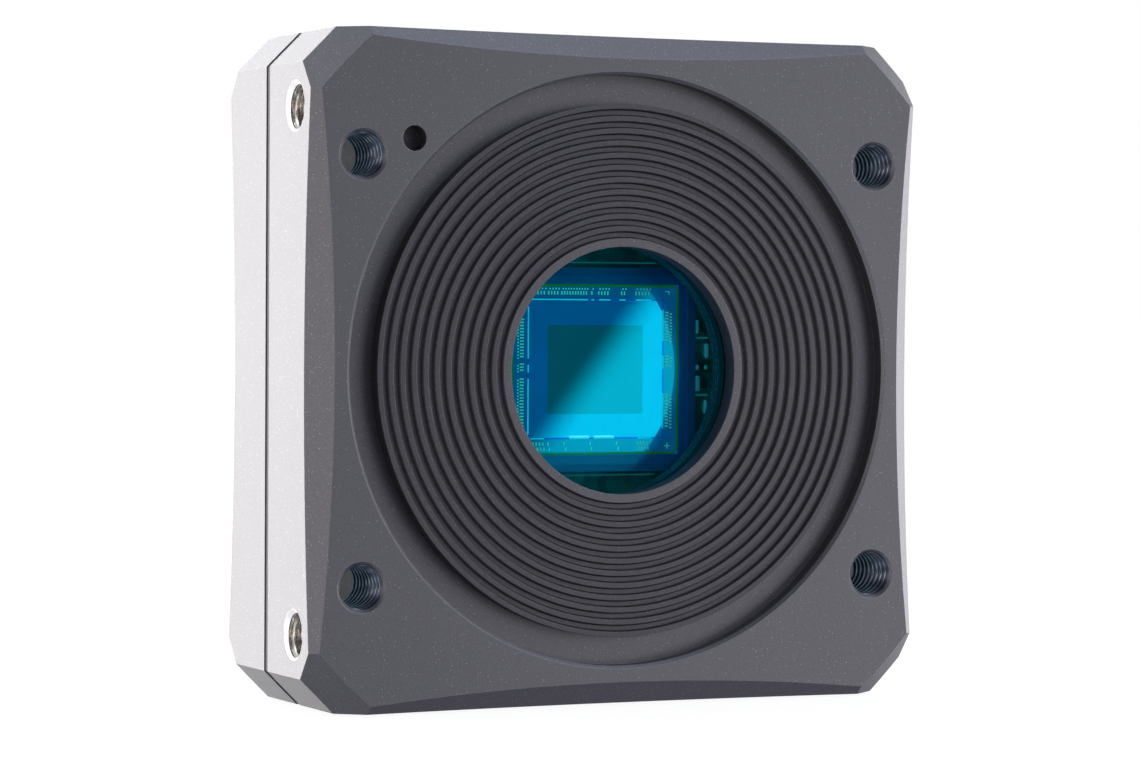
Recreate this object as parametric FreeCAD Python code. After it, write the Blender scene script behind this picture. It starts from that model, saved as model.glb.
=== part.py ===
"""Cooled astronomy camera: a slim square camera head with a thermoelectric cooler and a fan.

Frame, in millimetres: +X to the right seen from the front, +Z up, and the optical axis along Y.
The front face lies at Y = 0 and faces -Y; the rear face is at Y = BODY_DEPTH.
The origin is on the optical axis, at the centre of the front bolt pattern.
"""
import FreeCAD
import Part
import math
import os

V = FreeCAD.Vector
X_DIR, Y_DIR, Z_DIR = V(1, 0, 0), V(0, 1, 0), V(0, 0, 1)
TOP = 1000.0                      # far beyond the body, for half-space cutters

# ---- driving dimensions -------------------------------------------------------------------
BODY_HALF = 40.0                  # half of the width across the flats
BODY_DEPTH = 28.8
BODY_MID = BODY_DEPTH / 2
CORNER_SUM = 75.86                # |x| + |z| on the cut corners
CORNER_CONE_R = 50.82             # radius of the turned corner chamfer in the front face
CORNER_CONE_OUT_R = 53.72         # its radius where it meets the ends of the cut corners
CORNER_CONE_DEPTH = 3.64
SCOOP_INSET = 2.75                # mid-side inset of the scooped 45 degree chamfer, in the front face
SCOOP_DEPTH = 2.75                # mid-side depth of the same chamfer, on the side face
SCOOP_AXIS_OUT = 305.0            # distance of the scooping cone's axis outside the side face
SEAM_FRONT, SEAM_REAR = 14.25, 15.45
GASKET_INSET = 1.1

WALL = 3.4                        # side walls of both shells
CAVITY_HALF = BODY_HALF - WALL
CAVITY_CORNER_SUM = 69.5
BOSS_FROM = 30.4                  # corner bosses fill |x| and |z| beyond this

# front face
RECESS_R, RECESS_DEPTH, RECESS_CHAMFER = 35.3, 2.1, 0.37
FRONT_WALL_BACK = 4.85
SPIGOT_HOLE_R = 28.6
TAP_R, TAP_MOUTH_R, TAP_DEPTH = 2.5, 3.03, 9.0       # M6 x 1 tapping holes
FRONT_TAP_X, FRONT_TAP_Z = 33.8, 25.1
SIDE_TAP_Y, SIDE_TAP_Z, SIDE_TAP_DEPTH = 5.9, 30.8, 7.6
DOWEL_X, DOWEL_Z, DOWEL_R, DOWEL_DEPTH = -27.4, 27.1, 1.5, 2.3
TAP_BLOCK_X, TAP_BLOCK_Z, TAP_BLOCK_BACK = 29.0, 17.4, 11.5

# ribbed baffle round the window
BAFFLE_TOP = 0.25                 # the lip and the rib crests lie this far behind the face
APERTURE_R, LIP_R, BAFFLE_R = 14.8, 15.82, 31.86
RIB_COUNT, RIB_DEPTH = 11, 0.5
RIB_PITCH = (BAFFLE_R - LIP_R) / RIB_COUNT
RIB_FLANK, RIB_FLOOR = 0.17, 0.52   # the crest takes the rest of each pitch
SPIGOT_R = 28.4

# window and chamber
WINDOW_R, WINDOW_FRONT, WINDOW_THICK = 17.5, 2.55, 2.0
WINDOW_BACK = WINDOW_FRONT + WINDOW_THICK
CHAMBER_FRONT = 4.9
CHAMBER_FLANGE_R, CHAMBER_FLANGE_BACK = 31.0, 6.9
CHAMBER_MOUTH_R, CHAMBER_R, CHAMBER_OUT_R, CHAMBER_BACK = 15.2, 22.4, 27.0, 14.5
CHAMBER_SCREW_R = 26.6            # pitch radius of the screws that clamp the baffle
WINDOW_RING_R, RING_WIRE_R = 16.35, 0.45

# sensor
GLASS_FRONT, GLASS_THICK = 7.5, 0.45
DIE_FRONT, DIE_THICK = 8.35, 0.35
PACKAGE_FRONT, PACKAGE_BACK = 7.95, 10.2
PACKAGE_X, PACKAGE_Z = 26.6, 24.8
PACKAGE_RIM = 0.9
DIE_X, DIE_Z = 22.5, 20.7
SENSOR_BOARD_BACK, SENSOR_BOARD_R = 11.4, 22.0
BOARD_WINDOW_X, BOARD_WINDOW_Z = 17.0, 15.0
POST_R, POST_PITCH_R = 1.7, 20.2

# cooling stack
FINGER_X, FINGER_Z, FINGER_FRONT = 16.0, 14.0, 10.25
PLATE_FRONT, PLATE_BACK = 12.4, 13.4
TEC_HALF, TEC_TILE = 13.0, 0.6
PELLET_BACK = 15.3
TEC_BACK = 15.9
PELLET_ROWS, PELLET_SIDE, PELLET_PITCH = 6, 1.5, 3.9
EAR_X, EAR_HALF_X, EAR_HALF_Z = 17.6, 20.0, 3.2
SINK_BACK = 17.9
SINK_HALF_X, SINK_LOW_Z, SINK_HIGH_Z = 30.0, -23.0, 35.0
FIN_COUNT, FIN_THICK, FIN_IN_R, FIN_OUT_R, FIN_BACK = 40, 0.8, 22.4, 29.0, 25.6
SINK_SCREW_R = 25.2

# fan
FAN_Z = 6.0
ROTOR_R, BLADE_FRONT, BLADE_BACK = 18.0, 19.1, 24.1
BLADE_COUNT, BLADE_THICK, BLADE_SWEEP = 11, 0.7, 26.0
HUB_R, HUB_WALL = 7.6, 0.6
FRAME_FRONT, FRAME_BACK = 24.7, 25.7
FRAME_RING_IN, FRAME_RING_OUT = 18.8, 20.6
FRAME_HUB_R = 6.6
STRUT_COUNT, STRUT_HALF = 3, 1.0
FAN_POST_R, FAN_POST_PITCH_R = 1.7, 20.9
SHAFT_R, BEARING_R = 0.75, 1.9
SHAFT_CLEARANCE = 0.02
FAN_LEAD_X, FAN_LEAD_Z, FAN_LEAD_R, FAN_LEAD_BEND_R = (0.6, 1.5), -26.3, 0.32, 1.8

# rear shell
REAR_WALL_FRONT = 26.4
INTAKE_R, GUARD_R, GUARD_THICK = 17.6, 19.4, 0.8
SLOT_COUNT, SLOT_IN_R, SLOT_OUT_R, SLOT_HALF = 32, 22.6, 28.2, 0.85
GUARD_RINGS, GUARD_RING_WIDTH, GUARD_SPOKES, GUARD_SPOKE_HALF = 5, 0.9, 3, 0.7
CASE_SCREW_AT = 33.4
CASE_HEAD_R, CASE_SHANK_R = 2.7, 1.45
CASE_SEAT, CASE_TIP = 25.6, 10.6

# boards
MAIN_FRONT, MAIN_BACK, MAIN_HOLE_R, MAIN_HALF, MAIN_NOTCH = 11.8, 13.2, 27.6, 35.8, 29.6
MAIN_SCREW_X, MAIN_SCREW_Z = 33.4, 19.5
PORT_FRONT, PORT_BACK = 16.2, 17.4
PORT_LOW_Z, PORT_HIGH_Z, PORT_HALF_X = -35.4, -24.4, 29.2
PORT_Z = -30.0
PORT_SCREW_X = 26.4
JACK_X, USB_X, LED_X, AUX_X = -16.5, -2.0, 7.5, 16.5
M2_R, M2_HEAD_R, M2_HEAD_H = 0.95, 1.8, 1.2
M2_CLEAR_R, M2_TAP_R = 1.15, 1.0
FLEX_HALF_X, FLEX_FRONT, FLEX_BACK = 6.0, 11.42, 11.57
FLEX_IN_Z, FLEX_OUT_Z = 16.0, 30.4
LEAD_R, LEAD_X, LEAD_Y = 0.45, 2.0, 15.4
LEAD_IN_Z, LEAD_OUT_Z, LEAD_BEND_R = -13.1, -32.4, 1.2


# ---- shape helpers --------------------------------------------------------------------------
def box(x0, x1, y0, y1, z0, z1):
    return Part.makeBox(x1 - x0, y1 - y0, z1 - z0, V(x0, y0, z0))


def block(cx, cz, width, height, y0, y1):
    return box(cx - width / 2, cx + width / 2, y0, y1, cz - height / 2, cz + height / 2)


def rod(x, z, radius, y0, y1):
    """Cylinder along Y."""
    return Part.makeCylinder(radius, y1 - y0, V(x, y0, z), Y_DIR)


def ring(x, z, r_out, r_in, y0, y1):
    return rod(x, z, r_out, y0, y1).cut(rod(x, z, r_in, y0, y1))


def turned(points, x=0.0, z=0.0):
    """Solid of revolution about Y from (radius, y) points."""
    profile = [V(x + r, y, z) for r, y in points]
    face = Part.Face(Part.makePolygon(profile + profile[:1]))
    return face.revolve(V(x, 0, z), Y_DIR, 360)


def prism(points, y0, y1):
    """Extrusion along Y of an outline of (x, z) points."""
    outline = [V(x, y0, z) for x, z in points]
    face = Part.Face(Part.makePolygon(outline + outline[:1]))
    return face.extrude(V(0, y1 - y0, 0))


def cut_square(half, corner_sum):
    """Outline of a square with its corners cut at 45 degrees."""
    b = corner_sum - half
    return [(half, -b), (half, b), (b, half), (-b, half), (-half, b), (-half, -b), (-b, -half), (b, -half)]


def turn_y(shape, degrees, x=0.0, z=0.0):
    """Copy of a shape turned about a Y axis; positive takes +X towards +Z."""
    copy = shape.copy()
    copy.rotate(V(x, 0, z), Y_DIR, -degrees)
    return copy


def mirrored(shape, normal, base=V(0, 0, 0)):
    return shape.mirror(base, normal)


def joined(shapes):
    whole = shapes[0]
    if len(shapes) > 1:
        whole = whole.multiFuse(shapes[1:])
    return whole.removeSplitter()


def group(shapes):
    return Part.makeCompound(shapes)


def four_corners(x, z):
    return [(sx * x, sz * z) for sx in (-1, 1) for sz in (-1, 1)]


def on_circle(radius, count, start=0.0, x=0.0, z=0.0):
    turns = [math.radians(start + 360.0 * i / count) for i in range(count)]
    return [(x + radius * math.cos(t), z + radius * math.sin(t)) for t in turns]


def screw_from_back(x, z, seat, tip, shank_r, head_r, head_h):
    """Pan head screw whose head lies behind its seat; its shank runs forward to the tip."""
    shank = rod(x, z, shank_r, tip, seat)
    head = rod(x, z, head_r, seat, seat + head_h)
    socket = prism([(x + a, z + b) for a, b in on_circle(head_r * 0.5, 6)], seat + head_h * 0.45, seat + head_h)
    return joined([shank, head]).cut(socket)


def screw_from_front(x, z, seat, tip, shank_r, head_r, head_h):
    screw = screw_from_back(x, z, -seat, -tip, shank_r, head_r, head_h)
    return mirrored(screw, Y_DIR)


def bent_wire(points, wire_r, bend_r):
    """Round wire along straight runs joined by tangent arcs."""
    edges = []
    start = points[0]
    for i in range(1, len(points) - 1):
        corner = points[i]
        before = (points[i - 1] - corner).normalize()
        after = (points[i + 1] - corner).normalize()
        half = before.getAngle(after) / 2
        reach = bend_r / math.tan(half)
        bisector = (before + after).normalize()
        middle = corner + bisector * (bend_r / math.sin(half) - bend_r)
        arc_start, arc_end = corner + before * reach, corner + after * reach
        edges.append(Part.LineSegment(start, arc_start).toShape())
        edges.append(Part.Arc(arc_start, middle, arc_end).toShape())
        start = arc_end
    edges.append(Part.LineSegment(start, points[-1]).toShape())
    path = Part.Wire(edges)
    circle = Part.Wire(Part.Circle(points[0], points[1] - points[0], wire_r).toShape())
    return path.makePipeShell([circle], True, True)


# ---- the two shells ---------------------------------------------------------------------------
def corner_cone_cutter():
    """Everything outside a cone on the optical axis, which leaves the turned chamfers on the cut corners."""
    slope = (CORNER_CONE_OUT_R - CORNER_CONE_R) / CORNER_CONE_DEPTH
    before, beyond = 1.0, 2.0
    outside = CORNER_CONE_OUT_R + 10
    return turned([(CORNER_CONE_R - slope * before, -before),
                   (CORNER_CONE_OUT_R + slope * beyond, CORNER_CONE_DEPTH + beyond),
                   (outside, CORNER_CONE_DEPTH + beyond), (outside, -before)])


def scoop_cutter():
    taper = SCOOP_INSET / SCOOP_DEPTH
    before, beyond = 1.0, 4.0
    r_start = SCOOP_AXIS_OUT + SCOOP_INSET + before * taper
    r_end = SCOOP_AXIS_OUT - beyond * taper
    base = V(BODY_HALF + SCOOP_AXIS_OUT, -before, 0)
    return Part.makeCone(r_start, r_end, before + SCOOP_DEPTH + beyond, base, Y_DIR)


def body_blank():
    """Outer form of the camera: cut-corner square with chamfers and scoops on both faces."""
    cutters = [corner_cone_cutter()] + [turn_y(scoop_cutter(), 90 * quarter) for quarter in range(4)]
    blank = prism(cut_square(BODY_HALF, CORNER_SUM), 0, BODY_DEPTH)
    for cutter in cutters:
        blank = blank.cut(cutter)
        blank = blank.cut(mirrored(cutter, Y_DIR, V(0, BODY_MID, 0)))
    return blank


def slab(shape, y0, y1):
    return shape.common(box(-TOP, TOP, y0, y1, -TOP, TOP))


def tapping_hole(depth):
    """M6 tapping drill hole with a 90 degree mouth and a drill point, entering along +Y at the origin."""
    mouth = TAP_MOUTH_R - TAP_R
    point = TAP_R / math.tan(math.radians(59))
    return turned([(0, -1), (TAP_MOUTH_R + 1, -1), (TAP_R, mouth), (TAP_R, depth), (0, depth + point)])


def front_cavity():
    """Room behind the front wall: a cross that leaves the blocks for the tapped holes, then full width."""
    wide = box(-CAVITY_HALF, CAVITY_HALF, FRONT_WALL_BACK, TAP_BLOCK_BACK, -TAP_BLOCK_Z, TAP_BLOCK_Z)
    tall = box(-TAP_BLOCK_X, TAP_BLOCK_X, FRONT_WALL_BACK, TAP_BLOCK_BACK, -CAVITY_HALF, CAVITY_HALF)
    rear = slab(boss_cavity(TAP_BLOCK_BACK, SEAM_FRONT + 1), TAP_BLOCK_BACK, SEAM_FRONT + 1)
    return joined([wide, tall, rear])


def boss_cavity(y0, y1):
    """Full-width room that leaves the four corner bosses."""
    room = prism(cut_square(CAVITY_HALF, CAVITY_CORNER_SUM), y0, y1)
    for sx, sz in four_corners(1, 1):
        x0, x1 = sorted((sx * BOSS_FROM, sx * BODY_HALF))
        z0, z1 = sorted((sz * BOSS_FROM, sz * BODY_HALF))
        room = room.cut(box(x0, x1, y0 - 1, y1 + 1, z0, z1))
    return room


def front_housing(blank):
    shell = slab(blank, 0, SEAM_FRONT)
    rim = RECESS_R + RECESS_CHAMFER
    shell = shell.cut(turned([(0, -1), (rim + 1, -1), (rim, 0), (RECESS_R, RECESS_CHAMFER),
                              (RECESS_R, RECESS_DEPTH), (0, RECESS_DEPTH)]))
    shell = shell.cut(rod(0, 0, SPIGOT_HOLE_R, 1, FRONT_WALL_BACK + 1))
    shell = shell.cut(front_cavity())
    for x, z in four_corners(FRONT_TAP_X, FRONT_TAP_Z):
        hole = tapping_hole(TAP_DEPTH)
        hole.translate(V(x, 0, z))
        shell = shell.cut(hole)
    for sx, sz in four_corners(1, 1):
        hole = tapping_hole(SIDE_TAP_DEPTH)
        hole.rotate(V(0, 0, 0), Z_DIR, 90 * sx)
        hole.translate(V(sx * BODY_HALF, SIDE_TAP_Y, sz * SIDE_TAP_Z))
        shell = shell.cut(hole)
    shell = shell.cut(rod(DOWEL_X, DOWEL_Z, DOWEL_R, -1, DOWEL_DEPTH))
    for x, z in four_corners(CASE_SCREW_AT, CASE_SCREW_AT):
        shell = shell.cut(rod(x, z, CASE_SHANK_R + 0.05, CASE_TIP - 0.3, SEAM_FRONT + 1))
    for x, z in four_corners(MAIN_SCREW_X, MAIN_SCREW_Z):
        shell = shell.cut(rod(x, z, M2_TAP_R, TAP_BLOCK_BACK - 3.2, TAP_BLOCK_BACK + 1))
        shell = shell.fuse(ring(x, z, 1.9, M2_TAP_R, TAP_BLOCK_BACK, MAIN_FRONT))
    return shell.removeSplitter()


def exhaust_slots():
    slots = []
    for i in range(SLOT_COUNT):
        slot = box(SLOT_IN_R, SLOT_OUT_R, REAR_WALL_FRONT - 1, BODY_DEPTH + 1, -SLOT_HALF, SLOT_HALF)
        slot = slot.fuse([rod(SLOT_IN_R, 0, SLOT_HALF, REAR_WALL_FRONT - 1, BODY_DEPTH + 1),
                          rod(SLOT_OUT_R, 0, SLOT_HALF, REAR_WALL_FRONT - 1, BODY_DEPTH + 1)])
        slot.translate(V(0, 0, FAN_Z))
        slots.append(turn_y(slot, 360.0 * (i + 0.5) / SLOT_COUNT, 0, FAN_Z))
    return slots


def port_openings():
    """Openings in the rear wall for the power jack, the USB port, the light pipe and the aux socket."""
    y0, y1 = REAR_WALL_FRONT - 0.5, BODY_DEPTH + 1
    usb = block(USB_X, PORT_Z, 6.2, 3.5, y0, y1)
    ends = [rod(USB_X + s * 3.1, PORT_Z, 1.75, y0, y1) for s in (-1, 1)]
    return [rod(JACK_X, PORT_Z, 4.1, y0, y1), usb.fuse(ends), rod(LED_X, PORT_Z, 1.1, y0, y1),
            rod(AUX_X, PORT_Z, 4.6, y0, y1)]


def rear_housing(blank):
    shell = slab(blank, SEAM_REAR, BODY_DEPTH)
    shell = shell.cut(boss_cavity(SEAM_REAR - 1, REAR_WALL_FRONT))
    shell = shell.cut(rod(0, FAN_Z, INTAKE_R, REAR_WALL_FRONT - 1, BODY_DEPTH + 1))
    shell = shell.cut(rod(0, FAN_Z, GUARD_R + 0.1, BODY_DEPTH - GUARD_THICK, BODY_DEPTH + 1))
    for cutter in exhaust_slots() + port_openings():
        shell = shell.cut(cutter)
    for x, z in four_corners(CASE_SCREW_AT, CASE_SCREW_AT):
        shell = shell.cut(rod(x, z, CASE_HEAD_R + 0.25, CASE_SEAT, BODY_DEPTH + 1))
        shell = shell.cut(rod(x, z, CASE_SHANK_R + 0.15, SEAM_REAR - 1, CASE_SEAT + 1))
    for x in (-PORT_SCREW_X, PORT_SCREW_X):
        shell = shell.fuse(rod(x, PORT_Z, 2.2, PORT_BACK, REAR_WALL_FRONT + 0.2))
        shell = shell.cut(rod(x, PORT_Z, M2_TAP_R, PORT_BACK - 1, PORT_BACK + 4.5))
    return shell.removeSplitter()


def housing_gasket():
    outline = cut_square(BODY_HALF - GASKET_INSET, CORNER_SUM - GASKET_INSET * math.sqrt(2))
    gasket = prism(outline, SEAM_FRONT, SEAM_REAR).cut(boss_cavity(SEAM_FRONT - 1, SEAM_REAR + 1))
    for x, z in four_corners(CASE_SCREW_AT, CASE_SCREW_AT):
        gasket = gasket.cut(rod(x, z, CASE_SHANK_R + 0.1, SEAM_FRONT - 1, SEAM_REAR + 1))
    return gasket


def case_screws():
    return group([screw_from_back(x, z, CASE_SEAT, CASE_TIP, CASE_SHANK_R, CASE_HEAD_R, 2.4)
                  for x, z in four_corners(CASE_SCREW_AT, CASE_SCREW_AT)])


# ---- window and chamber ------------------------------------------------------------------------
def rib_profile():
    """(radius, y) points of the baffle's front, from the lip to the outer edge."""
    floor = BAFFLE_TOP + RIB_DEPTH
    points = [(APERTURE_R, BAFFLE_TOP), (LIP_R, BAFFLE_TOP)]
    for rib in range(RIB_COUNT):
        r = LIP_R + rib * RIB_PITCH
        points.append((r + RIB_FLANK, floor))
        points.append((r + RIB_FLANK + RIB_FLOOR, floor))
        points.append((r + 2 * RIB_FLANK + RIB_FLOOR, BAFFLE_TOP))
        points.append((r + RIB_PITCH, BAFFLE_TOP))
    return points


def window_baffle():
    points = rib_profile()
    points += [(BAFFLE_R, RECESS_DEPTH), (SPIGOT_R, RECESS_DEPTH), (SPIGOT_R, CHAMBER_FRONT),
               (WINDOW_R + 0.15, CHAMBER_FRONT), (WINDOW_R + 0.15, WINDOW_FRONT), (APERTURE_R, WINDOW_FRONT)]
    baffle = turned(points)
    for x, z in on_circle(CHAMBER_SCREW_R, 4, 0):
        baffle = baffle.cut(rod(x, z, M2_TAP_R, 2.3, CHAMBER_FRONT + 1))
    return baffle


def window_glass():
    edge = 0.25
    return turned([(0, WINDOW_FRONT), (WINDOW_R - edge, WINDOW_FRONT), (WINDOW_R, WINDOW_FRONT + edge),
                   (WINDOW_R, WINDOW_BACK - edge), (WINDOW_R - edge, WINDOW_BACK), (0, WINDOW_BACK)])


def o_ring(ring_r, y):
    return Part.makeTorus(ring_r, RING_WIRE_R, V(0, y, 0), Y_DIR)


def window_o_ring():
    return o_ring(WINDOW_RING_R, WINDOW_BACK + RING_WIRE_R)


def chamber_body():
    """Sealed sensor chamber: flange, mouth behind the window, round wall and four board posts."""
    body = turned([(CHAMBER_MOUTH_R, CHAMBER_FRONT), (CHAMBER_FLANGE_R, CHAMBER_FRONT),
                   (CHAMBER_FLANGE_R, CHAMBER_FLANGE_BACK), (CHAMBER_OUT_R, CHAMBER_FLANGE_BACK),
                   (CHAMBER_OUT_R, CHAMBER_BACK), (CHAMBER_R, CHAMBER_BACK),
                   (CHAMBER_R, CHAMBER_FLANGE_BACK), (CHAMBER_MOUTH_R, CHAMBER_FLANGE_BACK)])
    groove_depth = WINDOW_BACK + 2 * RING_WIRE_R - CHAMBER_FRONT + 0.05
    body = body.cut(ring(0, 0, WINDOW_RING_R + 0.6, WINDOW_RING_R - 0.6, CHAMBER_FRONT - 1,
                         CHAMBER_FRONT + groove_depth))
    body = body.cut(ring(0, 0, 24.0, 22.9, CHAMBER_BACK - 0.6, CHAMBER_BACK + 1))
    posts = [rod(x, z, POST_R, CHAMBER_FLANGE_BACK - 0.2, PACKAGE_BACK) for x, z in on_circle(POST_PITCH_R, 4, 45)]
    body = joined([body] + posts)
    for x, z in on_circle(POST_PITCH_R, 4, 45):
        body = body.cut(rod(x, z, M2_TAP_R, PACKAGE_BACK - 2.6, PACKAGE_BACK + 1))
    for x, z in on_circle(CHAMBER_SCREW_R, 4, 0):
        body = body.cut(rod(x, z, M2_CLEAR_R, CHAMBER_FRONT - 1, CHAMBER_FLANGE_BACK + 0.4))
        body = body.cut(rod(x, z, M2_HEAD_R + 0.2, CHAMBER_FLANGE_BACK - 0.9, CHAMBER_BACK + 1))
    for x, z in on_circle(SINK_SCREW_R, 4, 45):
        body = body.cut(rod(x, z, M2_TAP_R, CHAMBER_BACK - 4, CHAMBER_BACK + 1))
    flex_slot = box(-FLEX_HALF_X - 0.5, FLEX_HALF_X + 0.5, FLEX_FRONT - 0.2, FLEX_BACK + 0.2, 18, 28)
    return body.cut(flex_slot).removeSplitter()


def chamber_screws():
    seat = CHAMBER_FLANGE_BACK - 0.9
    return group([screw_from_back(x, z, seat, 2.6, M2_R, M2_HEAD_R, M2_HEAD_H)
                  for x, z in on_circle(CHAMBER_SCREW_R, 4, 0)])


def chamber_o_ring():
    return o_ring(23.45, CHAMBER_BACK - 0.05 - RING_WIRE_R * 0.1)


def thermal_break_ring():
    """Insulating ring between the chamber and the hot heat sink, with a gap for the cooler's leads."""
    brk = ring(0, 0, CHAMBER_OUT_R, CHAMBER_R, CHAMBER_BACK + 0.02, TEC_BACK)
    brk = brk.cut(ring(0, 0, 24.0, 22.9, CHAMBER_BACK - 1, CHAMBER_BACK + 0.5))
    for x, z in on_circle(SINK_SCREW_R, 4, 45):
        brk = brk.cut(rod(x, z, M2_CLEAR_R, CHAMBER_BACK - 1, TEC_BACK + 1))
    gap = LEAD_X + LEAD_R + 0.3
    return brk.cut(box(-gap, gap, LEAD_Y - LEAD_R - 0.1, TEC_BACK + 1, -30, -20))


def desiccant_tablets():
    tablet = ring(0, 0, 21.6, 16.4, CHAMBER_FLANGE_BACK + 0.05, CHAMBER_FLANGE_BACK + 1.5)
    sector = prism([(0, 0), (-15, -40), (15, -40)], 0, 20)
    low = tablet.common(sector)
    return group([low, turn_y(low, 180)])


# ---- sensor -------------------------------------------------------------------------------------
def sensor_package():
    """Ceramic tray with a stepped rim that carries the cover glass."""
    tray = block(0, 0, PACKAGE_X, PACKAGE_Z, PACKAGE_FRONT, PACKAGE_BACK)
    well = block(0, 0, PACKAGE_X - 2 * PACKAGE_RIM, PACKAGE_Z - 2 * PACKAGE_RIM, 0, DIE_FRONT + DIE_THICK)
    return tray.cut(well)


def sensor_die():
    return block(0, 0, DIE_X, DIE_Z, DIE_FRONT, DIE_FRONT + DIE_THICK)


def sensor_cover_glass():
    return block(0, 0, PACKAGE_X - 0.2, PACKAGE_Z - 0.2, GLASS_FRONT, GLASS_FRONT + GLASS_THICK)


def sensor_board():
    board = rod(0, 0, SENSOR_BOARD_R, PACKAGE_BACK, SENSOR_BOARD_BACK)
    board = board.cut(block(0, 0, BOARD_WINDOW_X, BOARD_WINDOW_Z, 0, 20))
    for x, z in on_circle(POST_PITCH_R, 4, 45):
        board = board.cut(rod(x, z, M2_CLEAR_R, 0, 20))
    return board


def sensor_board_parts():
    """Ceramic capacitors and regulators on the board's front, beside the package."""
    parts = []
    for side in (-1, 1):
        for z in (-6.2, -3.4, -0.8, 1.6, 4.2, 6.8):
            parts.append(block(side * 15.6, z, 1.6, 0.8, PACKAGE_BACK - 0.8, PACKAGE_BACK))
        parts.append(block(side * 18.2, 0, 2.2, 4.4, PACKAGE_BACK - 1.0, PACKAGE_BACK))
    for side in (-1, 1):
        for x in (-7.5, -4.5, -1.5, 1.5, 4.5, 7.5):
            parts.append(block(x, side * 15.4, 1.2, 0.7, PACKAGE_BACK - 0.6, PACKAGE_BACK))
    return group(parts)


def sensor_board_screws():
    return group([screw_from_back(x, z, SENSOR_BOARD_BACK, PACKAGE_BACK - 2.4, M2_R, 1.6, 1.0)
                  for x, z in on_circle(POST_PITCH_R, 4, 45)])


def sensor_flex_cable():
    return box(-FLEX_HALF_X, FLEX_HALF_X, FLEX_FRONT, FLEX_BACK, FLEX_IN_Z, FLEX_OUT_Z)


def flex_connector():
    return box(-FLEX_HALF_X - 1.4, FLEX_HALF_X + 1.4, MAIN_FRONT - 1.3, MAIN_FRONT, FLEX_OUT_Z, FLEX_OUT_Z + 3.4)


# ---- cooling stack ------------------------------------------------------------------------------
def cold_finger():
    """Copper block that carries heat from the back of the sensor package to the cooler."""
    boss = block(0, 0, FINGER_X, FINGER_Z, FINGER_FRONT, PLATE_BACK)
    plate = block(0, 0, 2 * TEC_HALF, 2 * TEC_HALF, PLATE_FRONT, PLATE_BACK)
    ears = block(0, 0, 2 * EAR_HALF_X, 2 * EAR_HALF_Z, PLATE_FRONT, PLATE_BACK)
    finger = joined([boss, plate, ears])
    for x in (-EAR_X, EAR_X):
        finger = finger.cut(rod(x, 0, M2_CLEAR_R, 0, 20))
    return finger


def cold_finger_screws():
    return group([screw_from_front(x, 0, PLATE_FRONT, SINK_BACK - 0.4, M2_R, 1.6, 0.9) for x in (-EAR_X, EAR_X)])


def tec_cold_plate():
    return block(0, 0, 2 * TEC_HALF, 2 * TEC_HALF, PLATE_BACK, PLATE_BACK + TEC_TILE)


def tec_pellets():
    centre = (PELLET_ROWS - 1) / 2
    places = [(i - centre) * PELLET_PITCH for i in range(PELLET_ROWS)]
    return group([block(x, z, PELLET_SIDE, PELLET_SIDE, PLATE_BACK + TEC_TILE, PELLET_BACK)
                  for x in places for z in places])


def tec_hot_plate():
    return block(0, 0, 2 * TEC_HALF, 2 * TEC_HALF, PELLET_BACK, TEC_BACK)


def tec_leads():
    leads = []
    for x in (-LEAD_X, LEAD_X):
        route = [V(x, LEAD_Y, LEAD_IN_Z), V(x, LEAD_Y, LEAD_OUT_Z), V(x, MAIN_BACK, LEAD_OUT_Z)]
        leads.append(bent_wire(route, LEAD_R, LEAD_BEND_R))
    return group(leads)


def thermistor():
    return rod(0, 10.2, 0.9, PLATE_FRONT - 0.9, PLATE_FRONT)


def sink_fins():
    fins = []
    for i in range(FIN_COUNT):
        fin = box(FIN_IN_R, FIN_OUT_R, SINK_BACK - 0.2, FIN_BACK, FAN_Z - FIN_THICK / 2, FAN_Z + FIN_THICK / 2)
        fins.append(turn_y(fin, 360.0 * (i + 0.5) / FIN_COUNT, 0, FAN_Z))
    return fins


def heat_sink():
    """Aluminium base with radial fins round the fan and three posts that carry the fan frame."""
    base = box(-SINK_HALF_X, SINK_HALF_X, TEC_BACK, SINK_BACK, SINK_LOW_Z, SINK_HIGH_Z)
    posts = [rod(x, z, FAN_POST_R, SINK_BACK - 0.2, FRAME_FRONT)
             for x, z in on_circle(FAN_POST_PITCH_R, STRUT_COUNT, 90, 0, FAN_Z)]
    sink = joined([base] + sink_fins() + posts)
    for x, z in on_circle(SINK_SCREW_R, 4, 45):
        sink = sink.cut(rod(x, z, M2_CLEAR_R, TEC_BACK - 1, SINK_BACK + 1))
        sink = sink.cut(rod(x, z, M2_HEAD_R + 0.6, SINK_BACK, FIN_BACK + 1))
    for x, z in on_circle(FAN_POST_PITCH_R, STRUT_COUNT, 90, 0, FAN_Z):
        sink = sink.cut(rod(x, z, 0.85, FRAME_FRONT - 4, FRAME_FRONT + 1))
        sink = sink.cut(rod(x, z, FAN_POST_R + 0.8, FRAME_FRONT, FIN_BACK + 1))
    for x in (-EAR_X, EAR_X):
        sink = sink.cut(rod(x, 0, M2_TAP_R, TEC_BACK - 1, SINK_BACK + 1))
    return sink


def heat_sink_screws():
    return group([screw_from_back(x, z, SINK_BACK, CHAMBER_BACK - 3.6, M2_R, M2_HEAD_R, M2_HEAD_H)
                  for x, z in on_circle(SINK_SCREW_R, 4, 45)])


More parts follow.
